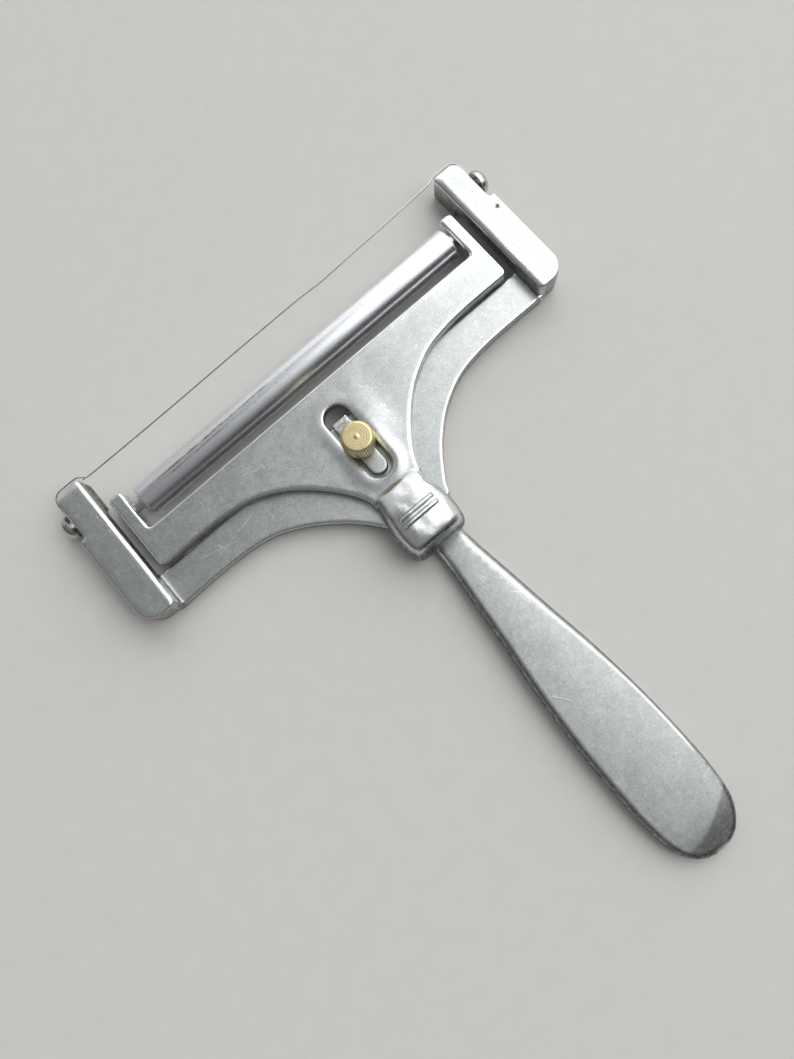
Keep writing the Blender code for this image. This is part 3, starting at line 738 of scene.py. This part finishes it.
def frame_masks(obj, outer):
    """Where handling has polished the frame and where highlights and shade are painted on it."""
    p = points_of(obj)
    x, y, z = p.T
    px = np.abs(x)
    edge_d = distance(p[:, :2], outer)
    steep = steepness(obj)
    on_handle = smoothstep(-y, 44.0, 52.0)

    # bright, partly real polish and partly painted highlight: the arms' inner bands and tips, and every edge
    on_arm = (px > ARM_INNER - 0.01) & (z > 4.5)
    polish_and_sheen = np.where(on_arm, 1.0 - smoothstep(px - ARM_INNER, 1.5, 2.3), 0.0)
    polish_and_sheen += np.where(on_arm, 0.6 * smoothstep(y, 27.8, 29.5), 0.0)
    polish_and_sheen += 0.7 * (1.0 - smoothstep(edge_d, 0.3, 1.2)) * (z > 2.4)
    polish_and_sheen *= 1.0 - 0.6 * steep
    # painted shade: the handle's left half, on the side away from the light, gets less of the painted
    # highlight
    polish_and_sheen *= 1.0 - 0.5 * on_handle * (x < HANDLE_X)

    # painted shade: beside the arms, and on walls, but little on the right arm's inner one
    near_step = (px < ARM_INNER + 0.1) & (px > 56.0) & (z < 6.5)
    painted_shade = np.where(near_step, 0.7 * smoothstep(px, ARM_INNER - 0.5, ARM_INNER), 0.0)
    wall = (px > ARM_INNER - 0.1) & (px < ARM_INNER + 1.3) & (z < 7.6)
    painted_shade += 0.62 * steep * np.where(wall & (x > 0.0), 0.15, 1.0)
    painted_shade += np.where(wall & (x < 0.0), 0.35, 0.0)

    # painted shade: the handle's tip and worn facet, its left bevel, the outer part of its right one, and the
    # pit
    painted_shade += 0.35 * smoothstep(-y, 125.0, 137.0) * (z > 3.0)
    painted_shade += 0.42 * smoothstep(tip_facet(x, y), -0.3, 0.7) * (y < -115.0)
    left = smoothstep(HANDLE_X - x, 1.0, 3.0) * (1.0 - smoothstep(edge_d, 1.0, 1.7))
    painted_shade += 0.75 * on_handle * left * (z > 1.5)
    rim_width = 0.4 * (1.0 - smoothstep(-y, 70.0, 105.0)) + 0.8 * smoothstep(-y, 109.0, 120.0)
    right_rim = smoothstep(x - HANDLE_X, 1.0, 3.0) * (1.0 - smoothstep(edge_d - rim_width, 0.3, 0.75))
    painted_shade += 0.6 * smoothstep(-y, 38.0, 46.0) * right_rim * (z > 1.5)
    painted_shade += 0.8 * np.exp(-(np.hypot(x - PIT[0], y - PIT[1]) / 0.4) ** 2) * (z > 6.0)
    set_mask(obj, "polish_and_sheen", polish_and_sheen)
    set_mask(obj, "painted_shade", painted_shade)


def build_frame(material):
    outer = wound(densify(frame_outline(), 0.7))
    hole = np.array(arc(0.0, SCREW_Y, SCREW_HOLE_R, 360.0, 0.0, 28)[:-1])
    loops = [outer, hole]
    top = frame_top(loops)
    low, walls = frame_base(loops, top)
    obj = new_mesh("frame_body", slab(top, low, walls))
    frame_masks(obj, outer)
    obj.data.materials.append(material)
    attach(obj, "frame")
    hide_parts("frame_casting")


# ---- carrier casting

PLATE_TOP = 7.2
PLATE_BOTTOM = 4.3
PLATE_FRONT_Y = 9.0
EAR_INNER = 53.2
EAR_OUTER = 57.1
SLOT_HALF = 3.5
SLOT_FRONT_Y = 2.4
SLOT_REAR_Y = -20.3
LEDGE_Y = -22.9  # the saddle rises out of the plate behind this line
RIB_YS = (-31.9, -33.8)
RIB_END = 4.7  # half length of the two ribs
EAR_REAR_Y = 2.9  # the ears hang below the plate in front of this line
EAR_FOOT = 1.6
EAR_INSET = 1.2  # and this far inward of their inner faces
SKIRT_Y = -35.9  # the saddle's skirts reach down behind this line
SKIRT_FOOT = 0.8
CHANNEL_HALF = 4.9  # the handle's stem runs between the skirts
CHANNEL_TOP = 5.7
SADDLE_X = -0.6
SADDLE_REAR_Y = -42.0
# y, half width, crown height
SADDLE = [(-23.0, 5.9, 8.2), (-24.4, 6.4, 9.3), (-28.7, 7.6, 10.8), (-33.0, 8.4, 11.3), (-37.0, 8.6, 11.1),
          (-39.6, 8.3, 10.3), (-41.0, 7.9, 9.4), (-42.0, 7.4, 8.2)]


def carrier_outline():
    half = [(0.0, PLATE_FRONT_Y)]
    half += arc(EAR_INNER - 1.0, PLATE_FRONT_Y + 1.0, 1.0, 270.0, 360.0, 8)
    half += arc(EAR_INNER + 1.0, 20.4, 1.0, 90.0, 180.0, 6)[::-1]
    half += arc(EAR_OUTER - 1.4, 20.0, 1.4, 0.0, 90.0, 8)[::-1]
    half += arc(EAR_OUTER - 1.8, 0.9, 1.8, 270.0, 360.0, 10)[::-1]
    rear = [(54.0, -0.9), (43.6, -0.9), (35.8, -1.4), (28.6, -2.9), (21.9, -6.3), (17.3, -9.9), (13.7, -13.6),
            (11.0, -17.0), (9.0, -20.0), (7.7, -22.6)]
    half += smooth_path(rear, 8)
    left = [(-x, y) for x, y in reversed(half) if x > 0.001]
    ys = np.array([-25.2, -28.7, -31.0, -33.0, -35.0, -37.0, -39.0, -40.2])
    widths = stations(ys, SADDLE)[0]
    right_side = [(SADDLE_X + w, y) for w, y in zip(widths, ys)]
    left_side = [(SADDLE_X - w, y) for w, y in zip(widths, ys)]
    right_side[0] = (7.0, -25.2)
    left_side[0] = (-7.6, -25.2)
    corner = 2.2
    rear_right = arc(SADDLE_X + 8.0 - corner, SADDLE_REAR_Y + corner, corner, 0.0, -90.0, 8)
    rear_left = arc(SADDLE_X - 8.0 + corner, SADDLE_REAR_Y + corner, corner, -90.0, -180.0, 8)
    right_path = smooth_path([half[-1]] + right_side, 6)[1:]
    left_path = smooth_path([left[0]] + left_side, 6)[1:]
    return half + right_path + rear_right + rear_left + left_path[::-1] + left


def obround(y0, y1, half):
    return arc(0.0, y0 - half, half, 0.0, 180.0, 24) + arc(0.0, y1 + half, half, 180.0, 360.0, 24)


def carrier_points(loops):
    """Points of the carrier's upper side, finest on the ribs and fine round the slot and on the saddle."""
    rings = [edge_row(loops, loop, d) for d in (0.03, 0.1, 0.22, 0.4, 0.62, 0.9, 1.25, 1.7) for loop in loops]
    fine = spread(loops, 0.42, ((-12.0, -42.0), (12.0, 7.0)), 0.35)
    ribs = spread(loops, 0.15, ((-6.4, -34.7), (5.8, -31.0)), 0.35)
    in_ribs = (np.abs(fine[:, 0] + 0.3) < 6.2) & (np.abs(fine[:, 1] + 32.85) < 2.0)
    coarse = spread(loops, 1.2, None, 2.0)
    in_fine = (np.abs(coarse[:, 0]) < 12.2) & (coarse[:, 1] < 7.2)
    return np.concatenate(rings + [fine[~in_ribs], ribs, coarse[~in_fine]])


def carrier_top(loops):
    """The carrier's upper side as (xyz, faces, rings)."""
    outer, slot = loops
    flat, faces, ring_ids = triangulate(loops, [], carrier_points(loops))
    x, y = flat.T
    d_out = distance(flat, outer)
    d_slot = distance(flat, slot)

    # plate with rolled edges, and a gently raised rim round the slot that runs into the neck
    rear_share = smoothstep(-y, -1.0, 15.0)
    side_share = 0.35 + 0.65 * smoothstep(x, -3.0, 5.0)
    rim = np.exp(-((d_slot - 1.4) / 1.9) ** 2) * (0.10 + 0.42 * rear_share * side_share)
    swell = np.exp(-((x - 7.6) / 3.0) ** 2) * np.exp(-((y + 7.5) / 8.5) ** 2) * 0.30
    neck = smoothstep(-y, 12.0, 22.5) * 0.75
    plate = PLATE_TOP + rim + swell + neck
    soft = 0.9 + 0.3 * smoothstep(-y, 2.0, 16.0)
    plate -= roundover(d_out, soft, 0.7)
    plate -= roundover(d_slot, 0.5, 0.4)
    plate += 0.014 * ripple(x, y, 8.0, 5) * smoothstep(d_out, 0.5, 2.5)

    # domed saddle over the handle's stem, with two ribs across it
    half, crown = stations(np.maximum(y, -36.5), SADDLE)
    half = np.where(y < -36.5, stations(y, SADDLE)[0], half)
    half = np.where(y > -28.0, np.maximum(half, 7.25), half)
    corner = 5.8 + np.sqrt(np.maximum(2.25 ** 2 - np.maximum(-39.8 - y, 0.0) ** 2, 0.0))
    half = np.where(y < -39.8, np.minimum(half, corner), half)
    middle = SADDLE_X + 0.3 * (1.0 - smoothstep(-y, 25.2, 28.7))
    base = 4.4 - 1.6 * smoothstep(-y, 34.0, 38.0)
    u = np.clip(np.abs(x - middle) / half, 0.0, 1.0)
    v = np.clip((-y - 35.4) / 6.6, 0.0, 1.0)
    dome = base + (crown - base) * ((1.0 - u ** 3.8) * (1.0 - v ** 3.2)) ** (1.0 / 3.2)
    dome -= 0.045 * (x - middle) * smoothstep(d_out, 0.0, 2.0)
    dome += 0.035 * ripple(x, y, 4.2, 11) * smoothstep(d_out, 0.3, 1.5)
    dome += 0.008 * ripple(x, y, 1.6, 12) * smoothstep(d_out, 0.3, 1.5)
    ledge = smoothstep(-y, -LEDGE_Y, 24.0)
    lifted = plate * (1.0 - ledge) + dome * ledge
    body = np.where(y < LEDGE_Y, np.maximum(lifted, plate * (1.0 - smoothstep(-y, 24.5, 27.0))), plate)
    for rib_y in RIB_YS:
        across = 1.0 - smoothstep(np.abs(y - rib_y), 0.22, 0.62)
        along = 1.0 - smoothstep(np.abs(x - SADDLE_X - 0.2), RIB_END, RIB_END + 0.6)
        body += 0.55 * across * along
    z = np.maximum(body, np.where(y < -25.0, base, 5.2))
    return np.column_stack([flat, z]), faces, ring_ids


def carrier_depth(x, y):
    """Height of the underside: ears and skirts hang below the plate, the stem runs in a channel."""
    ear = (np.abs(x) > EAR_INNER - EAR_INSET) & (y > EAR_REAR_Y)
    skirt = y < SKIRT_Y
    channel = skirt & (np.abs(x - HANDLE_X) < CHANNEL_HALF)
    out = np.where(ear, EAR_FOOT, PLATE_BOTTOM)
    out = np.where(skirt, SKIRT_FOOT, out)
    return np.where(channel, CHANNEL_TOP, out)


def carrier_base(loops, top):
    """The carrier's underside as (xyz, faces, rings), and the rows of its walls."""
    outer, slot = loops
    lines = []
    for side in (1, -1):
        for shift in (0.0, STEP):
            x0 = side * (EAR_INNER - EAR_INSET - shift)
            y0 = EAR_REAR_Y - shift
            lines.append((np.array([(x0, 8.9), (x0, 6.0), (x0, y0)]), False))
            lines.append((np.array([(x0, y0), (side * (EAR_OUTER - 0.06), y0)]), False))
    tuck = 0.12 * smoothstep(-outer[:, 1], 25.5, 29.0)
    skirt_centre = np.stack([np.full(len(outer), SADDLE_X), np.maximum(outer[:, 1], -33.0)], 1)
    low_loops = [outer + (skirt_centre - outer) * tuck[:, None], slot]
    flat, faces, ring_ids = triangulate(low_loops, lines, spread(low_loops, 2.5, None, 1.0))
    walls = []
    for loop, low_loop, ids in zip(loops, low_loops, top[2]):
        z_ring = top[0][ids, 2]
        z_foot = carrier_depth(*low_loop.T)
        mid = z_ring * 0.6 + z_foot * 0.4
        low_mid = np.minimum(z_foot + 0.35, mid)
        walls.append([np.column_stack([loop * 0.85 + low_loop * 0.15, mid]),
                      np.column_stack([loop * 0.25 + low_loop * 0.75, low_mid])])
    return (np.column_stack([flat, carrier_depth(*flat.T)]), faces, ring_ids), walls


def carrier_masks(obj, outer, slot):
    """Where handling has polished the carrier and where highlights and shade are painted on it."""
    p = points_of(obj)
    x, y, z = p.T
    d_edge = distance(p[:, :2], outer)
    d_rim = distance(p[:, :2], slot)
    saddle = smoothstep(-y, 23.0, 24.5)
    steep = steepness(obj)

    # bright, partly real polish and partly painted highlight: the edges, the slot's rim, the front, the ears'
    # inner bands and the whole saddle
    polish_and_sheen = 0.8 * (1.0 - smoothstep(d_edge, 0.4, 1.5)) * (z > 5.6)
    polish_and_sheen += 0.5 * (1.0 - smoothstep(d_rim, 0.5, 2.6)) * (z > 6.0)
    polish_and_sheen += 0.35 * np.exp(-((y - 8.2) / 1.6) ** 2) * (z > 6.0)
    ear = (np.abs(x) > EAR_INNER - 0.1) & (y > 8.0)
    polish_and_sheen += np.where(ear, 1.0 - smoothstep(np.abs(x) - EAR_INNER, 0.9, 1.5), 0.0)
    polish_and_sheen = np.maximum(polish_and_sheen, 0.72 * saddle)
    polish_and_sheen *= 1.0 - 0.5 * steep

    # painted shade: walls but for the roller's bay, the saddle's left foot, and both sides of each rib
    facing_roller = (y > 8.0) & (np.abs(x) < EAR_INNER + 0.5)
    painted_shade = 0.65 * steep * np.where(facing_roller, 0.15, 1.0) + 0.6 * steep * saddle
    painted_shade += 0.4 * saddle * (1.0 - smoothstep(d_edge, 0.5, 2.6)) * smoothstep(SADDLE_X - x, 0.0, 4.0)
    for rib_y in RIB_YS:
        near = np.exp(-((np.abs(y - rib_y) - 0.62) / 0.16) ** 2)
        near *= 1.0 - smoothstep(np.abs(x - SADDLE_X), 4.9, 5.8)
        painted_shade += 0.75 * near * (z > 8.0)
    set_mask(obj, "polish_and_sheen", polish_and_sheen)
    set_mask(obj, "painted_shade", painted_shade)


def build_carrier(material):
    outer = wound(densify(carrier_outline(), 0.6))
    slot = wound(densify(obround(SLOT_FRONT_Y, SLOT_REAR_Y, SLOT_HALF), 0.5), -1)
    loops = [outer, slot]
    top = carrier_top(loops)
    low, walls = carrier_base(loops, top)
    obj = new_mesh("carrier_body", slab(top, low, walls))
    carrier_masks(obj, outer, slot)
    obj.data.materials.append(material)
    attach(obj, "carrier")
    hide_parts("carrier_casting")


# ---- turned pieces

ROLLER_AXIS = (0.0, 16.0, 4.8)
ROLLER_R = 4.45
ROLLER_LEFT = -50.1
ROLLER_RIGHT = 51.6
AXLE_R = 1.45
AXLE_END = 56.8
KNURLS = 40


def put_in(obj, material, body, node):
    obj.data.materials.append(material)
    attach(obj, body)
    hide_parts(node)


def build_roller(polished, steel):
    edge, bore = 0.45, 3.4
    corner = arc(ROLLER_R - edge, edge, edge, -90.0, 0.0, 6)
    profile = [(bore, ROLLER_RIGHT - 0.2), (bore + 0.15, ROLLER_RIGHT)]
    profile += [(r, ROLLER_RIGHT - h) for r, h in corner]
    profile += [(r, ROLLER_LEFT + h) for r, h in corner[::-1]]
    profile += [(bore + 0.15, ROLLER_LEFT), (bore, ROLLER_LEFT + 0.2)]
    tube = new_mesh("roller_tube_body", turned(profile, 144, 1, ROLLER_AXIS))
    put_in(tube, polished, "roller", "roller_tube")
    for side, end, name in ((-1, ROLLER_LEFT, "left"), (1, ROLLER_RIGHT, "right")):
        plug = [(1.6, 1.0)] + arc(1.95, 0.75, 0.25, 90.0, 0.0, 4)
        plug += [(2.2, 0.1), (2.3, -0.1), (3.2, -0.15), (3.36, -0.3), (3.36, -5.0), (1.6, -5.0)]
        obj = new_mesh("roller_plug_body_" + name, turned(plug, 72, side, (end, *ROLLER_AXIS[1:])))
        put_in(obj, steel, "roller", "roller_plug_" + name)
    axle = [(0.0, AXLE_END)] + arc(AXLE_R - 0.3, AXLE_END - 0.3, 0.3, 90.0, 0.0, 4)
    axle += arc(AXLE_R - 0.3, 0.3 - AXLE_END, 0.3, 0.0, -90.0, 4) + [(0.0, -AXLE_END)]
    obj = new_mesh("roller_axle_body", turned(axle, 48, 1, ROLLER_AXIS))
    put_in(obj, steel, "carrier", "roller_axle")


def build_thumb_screw(material):
    top, r = 14.1, 4.15
    profile = [(0.0, top + 0.13), (0.25, top + 0.11), (0.42, top + 0.03), (0.55, top - 0.02)]
    for groove in (1.0, 1.65, 2.3, 2.95):
        profile += [(groove - 0.2, top - 0.02), (groove, top - 0.05), (groove + 0.2, top - 0.02)]
    profile += [(3.4, top - 0.04), (3.6, top - 0.1), (3.85, top - 0.3), (4.0, top - 0.46), (r, top - 0.7)]
    profile += [(r, 12.0), (r, 10.0), (r, 8.1), (4.05, 7.85), (3.8, 7.6), (3.6, 7.5)]
    profile += [(1.8, 7.5), (1.8, 1.0), (1.4, 0.6), (0.0, 0.6)]
    verts, faces = turned(profile, 320)
    radius = np.hypot(verts[:, 0], verts[:, 1])
    angle = np.arctan2(verts[:, 1], verts[:, 0])
    share = smoothstep(radius, 3.95, 4.12)
    shrink = 1.0 - 0.24 * share * (0.5 - 0.5 * np.cos(KNURLS * angle)) / np.maximum(radius, 1.0)
    verts[:, :2] *= shrink[:, None]
    verts += (0.0, SCREW_Y, 0.0)
    obj = new_mesh("thumb_screw_body", (verts, faces), 50.0)
    put_in(obj, material, "thumb_screw", "thumb_screw")


def build_wire_screw(name, side, y, material):
    """A domed head with a slot, and its shank, on the outer face of an arm."""
    seat, z, r, height, slot_half = 68.0, 4.9, 3.3, 2.75, 0.36
    rim = circle(r)
    reach = r - 0.25
    lines = []
    for half in (slot_half, slot_half + STEP, -slot_half, -slot_half - STEP):
        lines.append((np.stack([np.linspace(-reach, reach, 40), np.full(40, half)], 1), False))
    grid = spread([rim], 0.24, None, 0.1)
    off_centre = np.abs(grid[:, 1])
    clear = np.minimum(np.abs(off_centre - slot_half), np.abs(off_centre - slot_half - STEP)) > 0.06
    rings = [circle(r - d) for d in (0.04, 0.14)]
    rings = [g[np.abs(np.abs(g[:, 1]) - 0.38) > 0.08] for g in rings]
    flat, faces, ids = triangulate([rim], lines, np.concatenate([grid[clear]] + rings))
    radius = np.hypot(flat[:, 0], flat[:, 1])
    dome = 0.4 + (height - 0.4) * np.sqrt(np.clip(1.0 - (radius / r) ** 2.2, 0.0, 1.0)) ** 0.9
    cut = (np.abs(flat[:, 1]) < slot_half + 0.01) & (radius < reach + 0.1)
    dome = np.where(cut, np.minimum(dome, height - 0.85), dome)
    low = rim * (r - 0.2) / r
    low_flat, low_faces, low_ids = triangulate([low], [], spread([low], 0.8, None, 0.3))
    verts, faces = slab((np.column_stack([flat, dome]), faces, ids),
                        (np.column_stack([low_flat, np.zeros(len(low_flat))]), low_faces, low_ids),
                        [[np.column_stack([rim, np.full(len(rim), 0.2)])]])
    turn = math.radians(8.0)
    cos, sin = math.cos(turn), math.sin(turn)
    spin = np.array([[cos, sin, 0.0], [-sin, cos, 0.0], [0.0, 0.0, 1.0]])
    head = (along_x(verts @ spin, side) + (side * seat, y, z), faces)
    shank = [(0.0, 0.1), (1.5, 0.1), (1.5, -1.1), (1.4, -1.15), (0.0, -1.15)]
    obj = new_mesh(name + "_body", joined(head, turned(shank, 40, side, (side * seat, y, z))))
    put_in(obj, material, name, name)


# ---- scene

LENS_MM = 28.12
SENSOR_MM = 36.0
CAMERA_AT = (-0.01653, -0.01114, 0.20567)
CAMERA_RIGHT = (0.75530, -0.65174, -0.06902)
CAMERA_UP = (0.65372, 0.74171, 0.15004)

# the sky's brightness by the cosine from WINDOW; low parts of the sky are dimmer
WINDOW = (0.80, -0.02, 0.58)
SKY = [(0.0, 0.24), (0.36, 0.22), (0.50, 0.25), (0.60, 0.28), (0.68, 0.66), (0.745, 1.8), (0.85, 2.5),
       (0.92, 1.2), (1.0, 0.8)]
SIDE_GLOWS = [((0.62, 0.72, 0.34), 0.70, 0.95, 0.75), ((-0.05, 0.97, 0.25), 0.62, 0.96, 0.4)]
DARK_SIDE = (0.4, -0.9, -0.15)
BACKDROP = (0.60, 0.59, 0.575)


def build_camera():
    data = bpy.data.cameras.new("camera")
    data.lens = LENS_MM
    data.sensor_width = SENSOR_MM
    data.clip_start = 0.01
    cam = new_object("camera", data)
    right = Vector(CAMERA_RIGHT)
    up = Vector(CAMERA_UP)
    turn = Matrix((right, up, right.cross(up).normalized())).transposed().to_4x4()
    cam.matrix_world = Matrix.Translation(CAMERA_AT) @ turn
    bpy.context.scene.camera = cam


def build_window():
    """A soft area light, seen by the metal as a bright window."""
    side, reach, power = 0.9, 1.2, 2.4
    data = bpy.data.lights.new("window", "AREA")
    data.shape = "RECTANGLE"
    data.size, data.size_y = side, side
    data.energy = power
    data.color = (1.0, 0.99, 0.97)
    obj = new_object("window", data)
    away = Vector((0.77, -0.04, 0.62)).normalized()
    obj.location = away * reach
    obj.rotation_euler = away.to_track_quat("Z", "Y").to_euler()


def build_floor():
    half = 4.0
    mesh = bpy.data.meshes.new("floor")
    corners = [(-half, -half, 0.0), (half, -half, 0.0), (half, half, 0.0), (-half, half, 0.0)]
    mesh.from_pydata(corners, [], [(0, 1, 2, 3)])
    floor = new_object("floor", mesh)
    n = Surface("pale_floor")
    tone = n.noise(180.0, 4.0, 0.55)
    n.put(n.shader.inputs["Base Color"], n.mix(tone, (0.72, 0.70, 0.67), (0.78, 0.76, 0.73)))
    n.shader.inputs["Roughness"].default_value = 0.75
    n.bump(n.noise(1500.0, 3.0, 0.6), 0.25, 0.05)
    mesh.materials.append(n.mat)


def build_world():
    """A studio sky for the metal to mirror, and a plain pale backdrop for the camera."""
    world = bpy.data.worlds.new("studio")
    n = Nodes(world)
    out = n.new("OutputWorld")
    back = n.new("Background")
    n.link(back.outputs[0], out.inputs[0])
    view = n.new("TexCoord").outputs["Generated"]

    def toward(direction):
        return n.math("DOT_PRODUCT", view, Vector(direction).normalized(), "VectorMath")

    ramp = n.new("ValToRGB", Fac=toward(WINDOW))
    while len(ramp.color_ramp.elements) < len(SKY):
        ramp.color_ramp.elements.new(0.5)
    for element, (at, value) in zip(ramp.color_ramp.elements, SKY):
        element.position = at
        element.color = (value * 0.985, value, value * 1.01, 1.0)
    up = n.new("SeparateXYZ", Vector=view).outputs[2]
    sky = n.math("MULTIPLY", ramp.outputs[0], n.span(up, 0.35, 0.75, 0.40, 1.0), "VectorMath")
    for direction, low, high, strength in SIDE_GLOWS:
        sky = n.math("ADD", sky, n.span(toward(direction), low, high, 0.0, strength), "VectorMath")
    sky = n.math("MULTIPLY", sky, n.span(toward(DARK_SIDE), 0.58, 0.88, 1.0, 0.12), "VectorMath")
    camera_ray = n.new("LightPath").outputs["Is Camera Ray"]
    n.link(n.mix(camera_ray, sky, BACKDROP), back.inputs[0])
    bpy.context.scene.world = world


# deliberate scratches as (from, to, width)
FRAME_SCRATCHES = [
    ((-49.5, -4.6), (-38.0, -7.6), 0.09), ((-44.0, -7.4), (-30.5, -4.4), 0.07),
    ((0.6, -53.6), (1.6, -55.6), 0.07), ((1.6, -55.6), (0.1, -55.4), 0.07),
    ((0.1, -55.4), (0.6, -53.6), 0.06), ((3.4, -61.0), (6.4, -64.2), 0.08),
    ((5.9, -60.8), (3.2, -64.6), 0.06), ((4.6, -60.0), (4.9, -65.5), 0.05),
    ((2.0, -66.0), (6.6, -66.9), 0.05), ((-5.5, -86.0), (-2.5, -90.0), 0.06),
    ((6.5, -104.0), (9.0, -99.0), 0.05)]
PLATE_SCRATCHES = [
    ((-28.0, 4.0), (-21.0, 1.2), 0.07), ((14.0, 5.6), (20.5, 2.4), 0.06),
    ((8.6, 3.0), (12.0, -1.6), 0.06), ((-17.5, -3.0), (-12.5, -6.0), 0.06)]
ROLLER_STAINS = [((-49.0, 16.3), (-6.0, 16.9), 0.3), ((-41.0, 15.3), (-22.0, 15.5), 0.16)]


def main():
    bpy.context.scene.view_settings.view_transform = "Standard"
    build_camera()
    build_floor()
    build_world()
    build_window()
    cast = metal("cast_aluminium", (0.68, 0.70, 0.70), (0.50, 0.52, 0.52), 0.36, 0.7, pits=0.3, grain=0.7,
                 masks=True, strokes=FRAME_SCRATCHES)
    plate = metal("cast_plate", (0.70, 0.72, 0.72), (0.52, 0.54, 0.54), 0.34, 0.8, pits=0.25, grain=0.7,
                  masks=True, brushed=1.0, strokes=PLATE_SCRATCHES)
    polished = metal("polished_roller", (0.89, 0.90, 0.92), (0.82, 0.83, 0.86), 0.30, 0.3, 0.4, 0.25, 0.1,
                     streaks=0.6, stains=ROLLER_STAINS)
    steel = metal("steel", (0.66, 0.66, 0.65), (0.48, 0.48, 0.47), 0.26, 0.5, 0.5, 0.3, 0.3)
    brass = metal("brass", (0.84, 0.72, 0.42), (0.69, 0.58, 0.31), 0.36, 0.6, 0.4, 0.3, 0.4,
                  shine=(0.88, 0.80, 0.52))
    wire = metal("wire_steel", (0.72, 0.72, 0.70), (0.60, 0.60, 0.58), 0.25, 0.3, 0.3, 0.1, 0.1)
    build_frame(cast)
    build_carrier(plate)
    build_roller(polished, steel)
    build_thumb_screw(brass)
    build_wire_screw("wire_screw_left", -1, 22.9, steel)
    build_wire_screw("wire_screw_right", 1, 23.4, steel)
    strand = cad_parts["cutting_wire"]
    strand.data.materials.clear()
    strand.data.materials.append(wire)


main()
